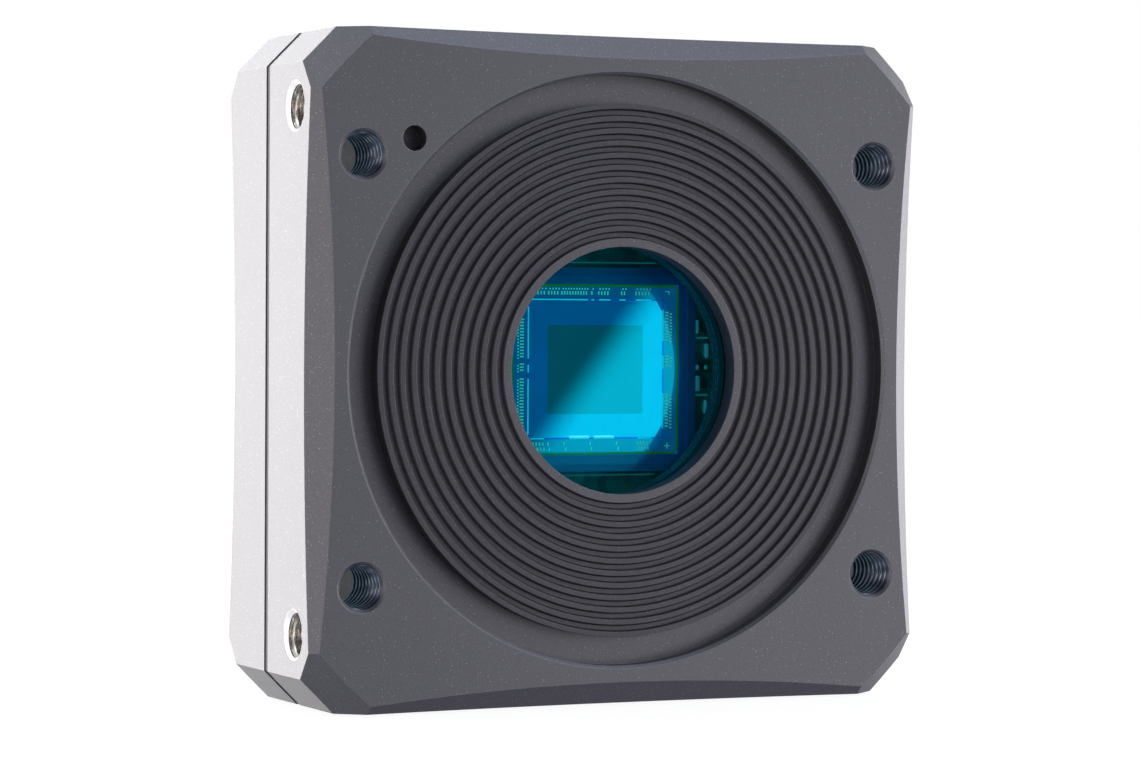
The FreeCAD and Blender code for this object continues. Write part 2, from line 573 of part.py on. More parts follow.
# ---- fan ------------------------------------------------------------------------------------------
def fan_frame():
    """Spider that holds the motor in front of the intake: hub plate, three struts, ring, lugs and bearing tube."""
    pieces = [rod(0, FAN_Z, FRAME_HUB_R, FRAME_FRONT, FRAME_BACK),
              ring(0, FAN_Z, FRAME_RING_OUT, FRAME_RING_IN, FRAME_FRONT, FRAME_BACK),
              rod(0, FAN_Z, BEARING_R + 0.7, FRAME_FRONT - 3.6, FRAME_FRONT + 0.2)]
    for i, (x, z) in enumerate(on_circle(FAN_POST_PITCH_R, STRUT_COUNT, 90, 0, FAN_Z)):
        strut = box(FRAME_HUB_R - 1, FRAME_RING_IN + 1, FRAME_FRONT, FRAME_BACK, FAN_Z - STRUT_HALF, FAN_Z + STRUT_HALF)
        pieces.append(turn_y(strut, 90 + 360.0 * i / STRUT_COUNT, 0, FAN_Z))
        pieces.append(rod(x, z, FAN_POST_R + 0.5, FRAME_FRONT, FRAME_BACK))
    frame = joined(pieces)
    frame = frame.cut(rod(0, FAN_Z, BEARING_R, FRAME_FRONT - 5, FRAME_FRONT + 0.3))
    for x, z in on_circle(FAN_POST_PITCH_R, STRUT_COUNT, 90, 0, FAN_Z):
        frame = frame.cut(rod(x, z, 1.0, FRAME_FRONT - 1, FRAME_BACK + 1))
    return frame


def fan_screws():
    return group([screw_from_back(x, z, FRAME_BACK, FRAME_FRONT - 3.4, 0.8, 1.5, 0.6)
                  for x, z in on_circle(FAN_POST_PITCH_R, STRUT_COUNT, 90, 0, FAN_Z)])


def fan_bearing():
    return ring(0, FAN_Z, BEARING_R, SHAFT_R + SHAFT_CLEARANCE, FRAME_FRONT - 3.5, FRAME_FRONT)


def fan_stator():
    """Stack of laminations with four poles round the bearing tube."""
    inner, outer, pole = BEARING_R + 0.75, 5.6, 1.9
    core = ring(0, FAN_Z, inner + 0.9, inner, 21.6, 23.4)
    pieces = [core]
    for i in range(4):
        arm = box(inner + 0.3, outer - 0.5, 21.6, 23.4, FAN_Z - pole / 2, FAN_Z + pole / 2)
        shoe = ring(0, FAN_Z, outer, outer - 0.8, 21.6, 23.4).common(
            prism([(0, FAN_Z), (9, FAN_Z - 6), (9, FAN_Z + 6)], 20, 25))
        pieces += [turn_y(arm, 90 * i, 0, FAN_Z), turn_y(shoe, 90 * i, 0, FAN_Z)]
    return joined(pieces)


def fan_coils():
    """One winding round each stator pole."""
    coils = []
    for i in range(4):
        outer = block(4.07, FAN_Z, 0.9, 3.0, 21.0, 24.0)
        coil = outer.cut(block(4.07, FAN_Z, 3.0, 1.92, 21.58, 23.42))
        coils.append(turn_y(coil, 90 * i, 0, FAN_Z))
    return group(coils)


def blade():
    """One backward-curved blade, between two arcs from the hub to the rotor's edge."""
    r0, r1 = HUB_R - 0.3, ROTOR_R
    sweep = math.radians(BLADE_SWEEP)
    lean = BLADE_THICK / 2

    def arc_points(side):
        start = V(r0, BLADE_FRONT, side * lean)
        middle_r, middle_turn = (r0 + r1) / 2, sweep * 0.36
        middle = V(middle_r * math.cos(middle_turn), BLADE_FRONT, middle_r * math.sin(middle_turn) + side * lean)
        end = V(r1 * math.cos(sweep), BLADE_FRONT, r1 * math.sin(sweep) + side * lean)
        return start, middle, end

    low, high = arc_points(-1), arc_points(1)
    edges = [Part.Arc(*low).toShape(), Part.LineSegment(low[2], high[2]).toShape(),
             Part.Arc(high[2], high[1], high[0]).toShape(), Part.LineSegment(high[0], low[0]).toShape()]
    shape = Part.Face(Part.Wire(edges)).extrude(V(0, BLADE_BACK - BLADE_FRONT, 0))
    shape.translate(V(0, 0, FAN_Z))
    return shape


def fan_rotor():
    """Cup-shaped hub, open towards the rear, with the impeller blades."""
    cup = rod(0, FAN_Z, HUB_R, BLADE_FRONT, BLADE_BACK).cut(
        rod(0, FAN_Z, HUB_R - HUB_WALL, BLADE_FRONT + 1.0, BLADE_BACK + 1))
    boss = rod(0, FAN_Z, 1.7, BLADE_FRONT + 0.5, BLADE_FRONT + 1.6)
    blades = [turn_y(blade(), 360.0 * i / BLADE_COUNT, 0, FAN_Z) for i in range(BLADE_COUNT)]
    rotor = joined([cup, boss] + blades)
    return rotor.cut(rod(0, FAN_Z, SHAFT_R, BLADE_FRONT + 0.3, BLADE_BACK))


def fan_magnet_ring():
    return ring(0, FAN_Z, HUB_R - HUB_WALL, HUB_R - HUB_WALL - 0.9, BLADE_FRONT + 1.6, BLADE_BACK - 0.2)


def fan_shaft():
    return rod(0, FAN_Z, SHAFT_R, BLADE_FRONT + 0.3, FRAME_FRONT - 0.1)


def fan_cable():
    """Two thin leads from the hub plate down over the fins to the port board."""
    y = FIN_BACK + 0.45
    leads = []
    for x in FAN_LEAD_X:
        route = [V(x, y, FAN_Z - 4.0), V(x, y, FAN_LEAD_Z), V(x, PORT_BACK, FAN_LEAD_Z)]
        leads.append(bent_wire(route, FAN_LEAD_R, FAN_LEAD_BEND_R))
    return group(leads)


def fan_guard():
    """Stamped guard over the intake: concentric rings on three spokes."""
    y0 = BODY_DEPTH - GUARD_THICK
    pieces = [ring(0, FAN_Z, GUARD_R, INTAKE_R - 0.9, y0, BODY_DEPTH), rod(0, FAN_Z, 3.2, y0, BODY_DEPTH)]
    pitch = (INTAKE_R - 3.2) / GUARD_RINGS
    for i in range(1, GUARD_RINGS):
        r = 3.2 + i * pitch
        pieces.append(ring(0, FAN_Z, r, r - GUARD_RING_WIDTH, y0, BODY_DEPTH))
    for i in range(GUARD_SPOKES):
        spoke = box(2, INTAKE_R, y0, BODY_DEPTH, FAN_Z - GUARD_SPOKE_HALF, FAN_Z + GUARD_SPOKE_HALF)
        pieces.append(turn_y(spoke, 30 + 360.0 * i / GUARD_SPOKES, 0, FAN_Z))
    return joined(pieces)


# ---- boards and ports -------------------------------------------------------------------------------
def main_board():
    """Ring-shaped board round the chamber, notched for the corner bosses."""
    board = joined([box(-MAIN_HALF, MAIN_HALF, MAIN_FRONT, MAIN_BACK, -MAIN_NOTCH, MAIN_NOTCH),
                    box(-MAIN_NOTCH, MAIN_NOTCH, MAIN_FRONT, MAIN_BACK, -MAIN_HALF, MAIN_HALF)])
    board = board.cut(rod(0, 0, MAIN_HOLE_R, 0, 20))
    for x, z in four_corners(MAIN_SCREW_X, MAIN_SCREW_Z):
        board = board.cut(rod(x, z, M2_CLEAR_R, 0, 20))
    return board


def main_board_chips():
    """Processor, memory and regulators on the back of the main board."""
    chips = [block(-27.0, 23.0, 8.0, 8.0, MAIN_BACK, MAIN_BACK + 1.2),
             block(27.0, 23.0, 8.0, 8.0, MAIN_BACK, MAIN_BACK + 1.0),
             block(-27.2, -22.6, 7.0, 9.0, MAIN_BACK, MAIN_BACK + 0.9),
             block(27.0, -23.0, 6.0, 6.0, MAIN_BACK, MAIN_BACK + 1.6)]
    chips += [block(x, 32.6, 4.0, 3.0, MAIN_BACK, MAIN_BACK + 1.0) for x in (-18, -12, 12, 18)]
    chips += [block(side * 32.0, z, 3.4, 3.0, MAIN_BACK, MAIN_BACK + 0.9) for side in (-1, 1) for z in (-8, 0, 8)]
    return group(chips)


def main_board_passives():
    parts = []
    for i in range(9):
        x = -16.0 + 4.0 * i
        parts.append(block(x, 29.2, 1.6, 0.8, MAIN_BACK, MAIN_BACK + 0.8))
    for side in (-1, 1):
        for z in (-13, -11, -4.5, -3, 3, 4.5, 11, 13):
            parts.append(block(side * 32.0, z, 1.6, 0.8, MAIN_BACK, MAIN_BACK + 0.7))
        parts.append(rod(side * 19.0, -32.2, 2.0, MAIN_BACK, MAIN_BACK + 2.4))
    return group(parts)


def main_board_screws():
    return group([screw_from_back(x, z, MAIN_BACK, TAP_BLOCK_BACK - 2.8, M2_R, M2_HEAD_R, 1.1)
                  for x, z in four_corners(MAIN_SCREW_X, MAIN_SCREW_Z)])


def board_link():
    return block(11.5, -31.4, 11.0, 4.2, MAIN_BACK, PORT_FRONT)


def port_board():
    board = box(-PORT_HALF_X, PORT_HALF_X, PORT_FRONT, PORT_BACK, PORT_LOW_Z, PORT_HIGH_Z)
    for x in (-PORT_SCREW_X, PORT_SCREW_X):
        board = board.cut(rod(x, PORT_Z, M2_CLEAR_R, 0, 30))
    return board


def port_board_screws():
    return group([screw_from_front(x, PORT_Z, PORT_FRONT, PORT_BACK + 4.0, M2_R, M2_HEAD_R, 0.9)
                  for x in (-PORT_SCREW_X, PORT_SCREW_X)])


def power_jack_body():
    body = block(JACK_X, PORT_Z, 9.4, 9.4, PORT_BACK, REAR_WALL_FRONT - 0.1)
    nose = rod(JACK_X, PORT_Z, 3.95, REAR_WALL_FRONT - 0.5, BODY_DEPTH - 0.15)
    return joined([body, nose]).cut(rod(JACK_X, PORT_Z, 2.85, 19.2, BODY_DEPTH + 1))


def power_jack_pin():
    pin = rod(JACK_X, PORT_Z, 1.0, 19.2, 26.9)
    return pin.fuse(Part.makeCone(1.0, 0.55, 0.5, V(JACK_X, 26.9, PORT_Z), Y_DIR)).removeSplitter()


def rounded_slot(width, height, y0, y1):
    """Slot-shaped bar at the USB port, with round ends."""
    straight = (width - height) / 2
    bar = block(USB_X, PORT_Z, 2 * straight, height, y0, y1)
    return joined([bar] + [rod(USB_X + s * straight, PORT_Z, height / 2, y0, y1) for s in (-1, 1)])


def usb_receptacle_shell():
    shell = rounded_slot(9.0, 3.26, PORT_BACK, BODY_DEPTH - 0.35)
    return shell.cut(rounded_slot(8.4, 2.66, PORT_BACK + 4.0, BODY_DEPTH + 1))


def usb_receptacle_tongue():
    return block(USB_X, PORT_Z, 6.7, 0.7, PORT_BACK + 4.0, BODY_DEPTH - 1.3)


def aux_socket_body():
    """Round four-pole socket for the guide and trigger signals."""
    body = block(AUX_X, PORT_Z, 9.8, 9.8, PORT_BACK, REAR_WALL_FRONT - 0.1)
    nose = rod(AUX_X, PORT_Z, 4.45, REAR_WALL_FRONT - 0.5, BODY_DEPTH - 0.15)
    socket = joined([body, nose]).cut(rod(AUX_X, PORT_Z, 3.55, 21.2, BODY_DEPTH + 1))
    return socket.fuse(block(AUX_X, PORT_Z + 3.1, 1.6, 1.2, 21.0, BODY_DEPTH - 0.5)).removeSplitter()


def aux_socket_pins():
    return group([rod(AUX_X + a, PORT_Z + b, 0.35, 21.2, 26.6) for a, b in on_circle(1.7, 4, 45)])


def status_led():
    return block(LED_X, PORT_Z, 1.6, 1.2, PORT_BACK, PORT_BACK + 0.8)


def status_light_pipe():
    return rod(LED_X, PORT_Z, 1.0, PORT_BACK + 0.85, BODY_DEPTH - 0.05)


# ---- output -----------------------------------------------------------------------------------------
def all_parts():
    blank = body_blank()
    makers = [window_baffle, window_glass, window_o_ring, chamber_body, chamber_screws, chamber_o_ring,
              thermal_break_ring, desiccant_tablets, sensor_package, sensor_die, sensor_cover_glass,
              sensor_board, sensor_board_parts, sensor_board_screws, sensor_flex_cable, flex_connector,
              cold_finger, cold_finger_screws, tec_cold_plate, tec_pellets, tec_hot_plate, tec_leads,
              thermistor, heat_sink, heat_sink_screws, fan_frame, fan_screws, fan_bearing, fan_stator,
              fan_coils, fan_rotor, fan_magnet_ring, fan_shaft, fan_cable, fan_guard, main_board,
              main_board_chips, main_board_passives, main_board_screws, board_link, port_board,
              port_board_screws, power_jack_body, power_jack_pin, usb_receptacle_shell,
              usb_receptacle_tongue, aux_socket_body, aux_socket_pins, status_led, status_light_pipe,
              housing_gasket, case_screws]
    parts = {maker.__name__: maker() for maker in makers}
    parts["front_housing"] = front_housing(blank)
    parts["rear_housing"] = rear_housing(blank)
    return parts


os.makedirs("parts", exist_ok=True)
for name, shape in all_parts().items():
    print(name, "solids", len(shape.Solids), "valid", shape.isValid(), "volume", round(shape.Volume, 1))
    shape.exportStep("parts/" + name + ".step")
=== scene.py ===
"""Looks, lights and camera for the cooled astronomy camera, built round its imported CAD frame."""

import math

import bmesh
import bpy
from mathutils import Matrix, Vector

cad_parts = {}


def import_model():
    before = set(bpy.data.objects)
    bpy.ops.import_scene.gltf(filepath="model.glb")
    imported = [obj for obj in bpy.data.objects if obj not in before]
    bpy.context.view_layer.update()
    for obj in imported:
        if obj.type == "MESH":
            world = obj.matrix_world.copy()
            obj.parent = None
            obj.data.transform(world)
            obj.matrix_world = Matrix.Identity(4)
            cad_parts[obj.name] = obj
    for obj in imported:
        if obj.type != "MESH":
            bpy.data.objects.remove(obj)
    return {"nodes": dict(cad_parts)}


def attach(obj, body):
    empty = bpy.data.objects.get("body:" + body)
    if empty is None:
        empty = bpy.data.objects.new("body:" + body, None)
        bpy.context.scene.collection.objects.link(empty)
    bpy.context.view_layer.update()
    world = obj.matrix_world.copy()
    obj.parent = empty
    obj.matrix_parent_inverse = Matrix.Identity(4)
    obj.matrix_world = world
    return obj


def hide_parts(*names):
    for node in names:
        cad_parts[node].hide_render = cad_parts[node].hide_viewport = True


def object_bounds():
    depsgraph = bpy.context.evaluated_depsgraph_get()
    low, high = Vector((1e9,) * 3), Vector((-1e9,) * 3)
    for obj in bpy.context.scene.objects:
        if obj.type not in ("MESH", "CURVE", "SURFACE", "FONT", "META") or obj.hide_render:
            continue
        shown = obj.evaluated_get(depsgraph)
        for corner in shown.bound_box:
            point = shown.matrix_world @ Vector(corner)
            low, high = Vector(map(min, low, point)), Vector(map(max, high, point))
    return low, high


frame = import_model()
cad_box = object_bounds()
nodes = frame["nodes"]
MM = 0.001

# ---- dimensions in millimetres: the window looks to -Y, and +Z is up -----------------------------
BODY_HALF, CORNER_SUM = 40.0, 75.86     # half width across the flats, and x + z along a cut corner
SEAM_FROM_TO, SEAM_INSET, SEAM_WALL = (14.27, 15.43), 0.15, 1.2

TAP_R, TAP_MOUTH_R = 2.5, 3.03
TAP_X, TAP_Z, FRONT_TAP_DEPTH, FRONT_MOUTH_DEPTH = 33.8, 25.1, 9.0, 0.45
FRONT_TAPS = [(sx * TAP_X, sz * TAP_Z) for sx in (-1, 1) for sz in (-1, 1)]
SIDE_TAP_Y, SIDE_TAP_Z, SIDE_TAP_DEPTH, SIDE_MOUTH_DEPTH = 5.9, 30.8, 7.6, 0.5
THREAD_ROOT_R, THREAD_PITCH, THREAD_GAP = 2.95, 1.0, 0.02
THREAD_START, THREAD_END = 0.27, 0.2    # below the face, and short of the hole's end
ROOT_FLAT, BOTH_FLANKS = 0.19, 0.62     # shares of one pitch
THREAD_SEGMENTS, ROWS_PER_TURN = 48, 10

BAFFLE_TOP, APERTURE_R, LIP_R, BAFFLE_R = 0.25, 14.8, 15.82, 31.86
RIB_COUNT, RIB_DEPTH = 11, 0.5
RIB_PITCH = (BAFFLE_R - LIP_R) / RIB_COUNT
RIB_FLANK, RIB_FLOOR, RIB_ROUNDING = 0.17, 0.52, 0.045
RECESS_DEPTH, SPIGOT_R, SPIGOT_BACK = 2.1, 28.4, 4.9
WINDOW_POCKET_R, WINDOW_FRONT = 17.65, 2.55
BAFFLE_SEGMENTS = 320
SHELL_CREASE, BAFFLE_CREASE, SOFT_CREASE, BEVEL_FROM = 24, 60, 40, 30     # degrees

DIE_FRONT, DIE_X, DIE_Z = 8.35, 22.5, 20.7
LAYER_RISES = (0.012, 0.024, 0.030)     # border, array and bus lines, above the die
DIE_EDGE_WIDTH, DIE_EDGE_R = 0.32, 0.9
ARRAY_X, ARRAY_Z = 12.76, 10.8
BUS_X0, BUS_X1, BUS_Z0, BUS_Z1 = -9.06, 9.22, -8.41, 8.56
BUS_WIDTH, BUS_BOTTOM_WIDTH, BUS_SIDE_WIDTH, WIDE_BAR_TOP = 0.16, 0.14, 0.17, 0.40
# painted lit parts and wide parts of the bus lines, and dashes under the top one: from, to
BRIGHT_TOP = ((-8.5, -1.05), (-0.6, -0.2), (0.4, 1.95), (3.2, 4.0), (5.4, 7.6))
BRIGHT_BOTTOM = ((-8.6, -6.8), (-3.5, -0.8), (-0.2, 2.6), (5.8, 7.6))
BRIGHT_LEFT = ((1.35, 7.6), (-0.35, 0.6), (-7.8, -1.1))
BRIGHT_RIGHT = ((3.5, 7.3), (0.1, 1.7), (-7.2, -2.9))
WIDE_BARS = ((-3.49, -0.81), (-0.14, 2.53))
DASHES = ((-6.9, -4.5), (-3.9, -1.6), (-1.1, -0.6), (-0.2, 1.0), (1.6, 2.8), (3.0, 5.5))
DASH_Z = (7.95, 8.15)

PAD_WIDTH, PAD_STAGGER, PAD_RISE = 0.18, 0.18, 0.03
# rows of bond pads: first centre, last centre, count
TOP_PADS = ((-7.72, -6.88, 3), (-6.30, -5.11, 4), (-4.54, -1.27, 10), (-0.54, -0.54, 1),
            (0.39, 1.62, 4), (3.49, 3.87, 2), (5.44, 7.17, 5))
BOTTOM_PADS = ((-8.30, -7.01, 4), (-6.27, -6.27, 1), (-4.13, -4.13, 1), (-0.66, -0.66, 1),
               (2.93, 2.93, 1), (5.74, 7.00, 4))
LEFT_PADS = ((6.06, 1.58, 13), (0.67, -0.06, 3), (-1.13, -6.77, 16))
RIGHT_PADS = ((6.98, 3.61, 10), (1.64, 0.55, 4), (-3.05, -6.95, 11))
# where the inner and the outer row of each side lie: from, to
TOP_ROWS, BOTTOM_ROWS = ((9.07, 9.53), (9.69, 9.90)), ((-9.20, -8.77), (-9.80, -9.40))
LEFT_ROWS, RIGHT_ROWS = ((-10.08, -9.56), (-10.42, -10.22)), ((9.46, 9.90), (10.06, 10.36))
# an angle and a cross in the die's right corners: x0, x1, z0, z1
CORNER_MARKS = ((9.4, 10.0, 9.48, 9.62), (9.86, 10.0, 9.15, 9.48),
                (9.4, 10.14, -9.40, -9.27), (9.70, 9.84, -9.68, -9.40), (9.70, 9.84, -9.27, -8.98))

BOARD_FRONT = 10.2
# half length with its ends, half length and half width of the body, half width of the ends, height
LARGE_CHIP, SMALL_CHIP = (0.8, 0.45, 0.36, 0.4, 0.70), (0.6, 0.34, 0.32, 0.35, 0.55)
CHIP_END_RISE = 0.03
LEFT_CHIPS_X, LEFT_CHIPS_Z = -15.6, (-6.2, -3.4, -0.8, 1.6, 4.2, 6.8)
ROW_CHIPS_X, ROW_CHIPS_Z = (-7.5, -4.5, -1.5, 1.5, 4.5, 7.5), 15.4
SIDE_CHIP_X, SIDE_CHIP_HALF, SIDE_CHIP_RISE = 18.2, (1.1, 2.2), 1.0
# solder domes on the board's right: x, z, width, height
SOLDER_BY_PACKAGE = (
    (14.56, 5.25, 0.46, 1.70), (15.90, 2.30, 0.50, 1.80), (15.80, -4.65, 0.44, 1.70),
    (14.60, 0.24, 0.52, 0.62), (15.75, 0.24, 0.52, 0.62), (14.66, -1.75, 0.60, 1.90),
)
SOLDER_RISE, SOLDERED_RISE, SOLDERED_SIZE = 0.55, 0.45, (1.0, 0.6)
BETWEEN_SOLDER = (14.86, 15.49, -0.02, 0.50)
# printed lines on the board: x0, x1, z0, z1
BOARD_LINES = ((13.80, 16.25, 3.74, 3.99), (13.80, 16.25, -3.31, -3.06), (-9.0, 9.0, 12.95, 13.10),
               (-9.0, 9.0, -12.98, -12.83), (13.45, 13.55, -8.0, 8.0))
INK_RISE = 0.03

# ---- camera --------------------------------------------------------------------------------------
VIEW_TARGET = Vector((-0.558, 14.4, -1.375)) * MM
VIEW_DISTANCE = 464.93 * MM
VIEW_AZIMUTH, VIEW_ELEVATION, VIEW_ROLL = -25.104, 1.011, 0.32
LENS, SENSOR_WIDTH = 119.49, 36.0

# ---- lights, in metres ---------------------------------------------------------------------------
FLOOR_HALF, FLOOR_DROP = 30.0, 0.0002
FLOOR_GREY, FLOOR_GLOW, FLOOR_GLOW_SHARE = 0.85, 1.12, 0.82

SOFTBOX_STRENGTH, SOFTBOX_DISTANCE, SOFTBOX_SIZE = 1.0, 0.90, 0.60
SOFTBOX_TOWARDS = Vector((0.4303, -0.9026, -0.0149))
EDGE_NORMAL = Vector((0.788, 0, -0.615))
EDGE_AT, EDGE_HALF = 0.0004, 0.0076

ROOM_BASE = (0.080, 0.080, 0.115)
PANEL_FULL, PANEL_FADED = math.radians(3), math.radians(34)
PANELS = (
    # degrees from +Y towards +X, degrees up, colour
    (-25, 0, (2.60, 2.60, 2.45)),       # white paper behind the camera
    (10, 5, (9.20, 9.00, 8.80)),
    (-50, 0, (3.60, 3.45, 3.45)),
    (-80, 0, (0.34, 0.33, 0.31)),
    (-112, 0, (1.40, 1.33, 1.30)),      # white wall on the left
    (75, 0, (3.05, 3.00, 3.00)),        # window light from the right
    (95, 0, (1.30, 1.20, 1.40)),
    (117, 0, (1.75, 1.70, 1.70)),
    (135, 30, (0.42, 0.44, 0.48)),
    (150, 40, (0.42, 0.46, 0.50)),
    (-60, 50, (1.90, 2.00, 2.10)),      # cool ceiling
    (20, 50, (1.50, 1.70, 1.95)),
    (110, 50, (1.15, 1.25, 1.45)),
    (0, -90, (0.45, 0.38, 0.42)),       # pale ground
    (120, -45, (0.35, 0.42, 0.50)),
    (-120, -45, (0.73, 0.82, 0.86)),
)


# ---- mesh helpers --------------------------------------------------------------------------------
def link(name, data):
    """A new object in the scene."""
    obj = bpy.data.objects.new(name, data)
    bpy.context.scene.collection.objects.link(obj)
    return obj


def dressed(obj, material):
    """The piece, with its material."""
    obj.data.materials.append(material)
    return obj


def smooth(mesh, degrees):
    """Smooth shading that breaks at edges sharper than this."""
    mesh.shade_smooth()
    mesh.set_sharp_from_angle(angle=math.radians(degrees))


def turn_outwards(mesh):
    """Point every face's normal out of the solid."""
    bm = bmesh.new()
    bm.from_mesh(mesh)
    bmesh.ops.recalc_face_normals(bm, faces=bm.faces)
    bm.to_mesh(mesh)
    bm.free()


def object_from(name, points, faces, smooth_angle=None):
    """A solid from points in millimetres."""
    mesh = bpy.data.meshes.new(name)
    mesh.from_pydata([tuple(c * MM for c in point) for point in points], [], faces)
    mesh.validate()
    if smooth_angle is not None:
        smooth(mesh, smooth_angle)
    turn_outwards(mesh)
    return link(name, mesh)


def apply_modifiers(obj):
    """Keep the mesh that the modifiers make."""
    graph = bpy.context.evaluated_depsgraph_get()
    mesh = bpy.data.meshes.new_from_object(obj.evaluated_get(graph))
    obj.modifiers.clear()
    obj.data = mesh


def softened(obj, width_mm, segments=2):
    """The piece with its edges bevelled."""
    bevel = obj.modifiers.new("soft_edges", "BEVEL")
    bevel.width = width_mm * MM
    bevel.segments = segments
    bevel.limit_method = "ANGLE"
    bevel.angle_limit = math.radians(BEVEL_FROM)
    apply_modifiers(obj)
    smooth(obj.data, SOFT_CREASE)
    return obj


def circle(radius, segments):
    """Points once round a circle, as pairs."""
    angles = [2 * math.pi * s / segments for s in range(segments)]
    return [(radius * math.cos(angle), radius * math.sin(angle)) for angle in angles]


def ring_faces(rows, segments, closed=False):
    """Quads between rows of points that each go once round; closed joins the last row to the first."""
    faces = []
    for row in range(rows if closed else rows - 1):
        here, after = row * segments, (row + 1) % rows * segments
        for s in range(segments):
            t = (s + 1) % segments
            faces.append((here + s, here + t, after + t, after + s))
    return faces


def lathe(name, outline, segments, smooth_angle):
    """Solid of revolution about the optical axis from a closed (radius, y) outline."""
    points = [(x, y, z) for r, y in outline for x, z in circle(r, segments)]
    return object_from(name, points, ring_faces(len(outline), segments, closed=True), smooth_angle)


def rounded(outline, radius):
    """The outline with each corner replaced by a short arc of three points."""
    most = 0.45     # of the length of a side
    out = []
    for i, here in enumerate(outline):
        corner, before = Vector(here), Vector(outline[i - 1])
        after = Vector(outline[(i + 1) % len(outline)])
        cut = min(radius, most * (before - corner).length, most * (after - corner).length)
        start = corner + (before - corner).normalized() * cut
        end = corner + (after - corner).normalized() * cut
        middle = start * 0.25 + corner * 0.5 + end * 0.25
        out += [tuple(start), tuple(middle), tuple(end)]
    return out


def bricks(name, boxes):
    """One mesh of separate axis-aligned boxes, each (x0, x1, y0, y1, z0, z1) in millimetres."""
    points, faces = [], []
    for x0, x1, y0, y1, z0, z1 in boxes:
        n = len(points)
        points += [(x, y, z) for y in (y0, y1) for x, z in ((x0, z0), (x1, z0), (x1, z1), (x0, z1))]
        faces += [(n, n + 1, n + 2, n + 3), (n + 7, n + 6, n + 5, n + 4)]
        faces += [(n + i, n + 4 + i, n + 4 + (i + 1) % 4, n + (i + 1) % 4) for i in range(4)]
    return object_from(name, points, faces)


def rounded_rectangle(half_x, half_z, radius, steps=8):
    """Points round a rectangle with round corners."""
    points = []
    for corner, (sx, sz) in enumerate(((1, 1), (-1, 1), (-1, -1), (1, -1))):
        for i in range(steps + 1):
            angle = math.radians(90 * (corner + i / steps))
            points.append((sx * (half_x - radius) + radius * math.cos(angle),
                           sz * (half_z - radius) + radius * math.sin(angle)))
    return points


# ---- node helpers --------------------------------------------------------------------------------
class Nodes:
    """Short calls for the nodes of a material or a world."""

    def __init__(self, owner, output):
        owner.use_nodes = True
        self.tree = owner.node_tree
        self.tree.nodes.clear()
        self.output = self.add(output)

    def add(self, kind, **settings):
        node = self.tree.nodes.new(kind)
        for key, value in settings.items():
            setattr(node, key, value)
        return node

    def plug(self, value, socket):
        """Link a socket, or set a plain value."""
        if isinstance(value, bpy.types.NodeSocket):
            self.tree.links.new(value, socket)
        else:
            socket.default_value = value

    def maths(self, operation, a, b=0.0):
        node = self.add("ShaderNodeMath", operation=operation)
        self.plug(a, node.inputs[0])
        self.plug(b, node.inputs[1])
        return node.outputs[0]

    def times(self, a, b):
        return self.maths("MULTIPLY", a, b)

    def plus(self, a, b):
        return self.maths("ADD", a, b)

    def vectors(self, operation, a, b):
        node = self.add("ShaderNodeVectorMath", operation=operation)
        self.plug(a, node.inputs[0])
        self.plug(b, node.inputs["Scale"] if operation == "SCALE" else node.inputs[1])
        return node.outputs["Value" if operation == "DOT_PRODUCT" else "Vector"]

    def spread(self, value, low, high, out_low=0.0, out_high=1.0):
        """The value from low to high, eased to run from out_low to out_high."""
        node = self.add("ShaderNodeMapRange", interpolation_type="SMOOTHSTEP")
        self.plug(value, node.inputs["Value"])
        node.inputs["From Min"].default_value = low
        node.inputs["From Max"].default_value = high
        node.inputs["To Min"].default_value = out_low
        node.inputs["To Max"].default_value = out_high
        return node.outputs["Result"]

    def glow(self, kind, colour=None, strength=None):
        """An emission or background shader."""
        node = self.add(kind)
        if colour is not None:
            self.plug(colour, node.inputs["Color"])
        if strength is not None:
            self.plug(strength, node.inputs["Strength"])
        return node

    def show_mixed(self, share, first, second):
        """Finish with a mix of two shaders."""
        mix = self.add("ShaderNodeMixShader")
        self.plug(share, mix.inputs["Fac"])
        self.plug(first.outputs[0], mix.inputs[1])
        self.plug(second.outputs[0], mix.inputs[2])
        self.plug(mix.outputs[0], self.output.inputs["Surface"])


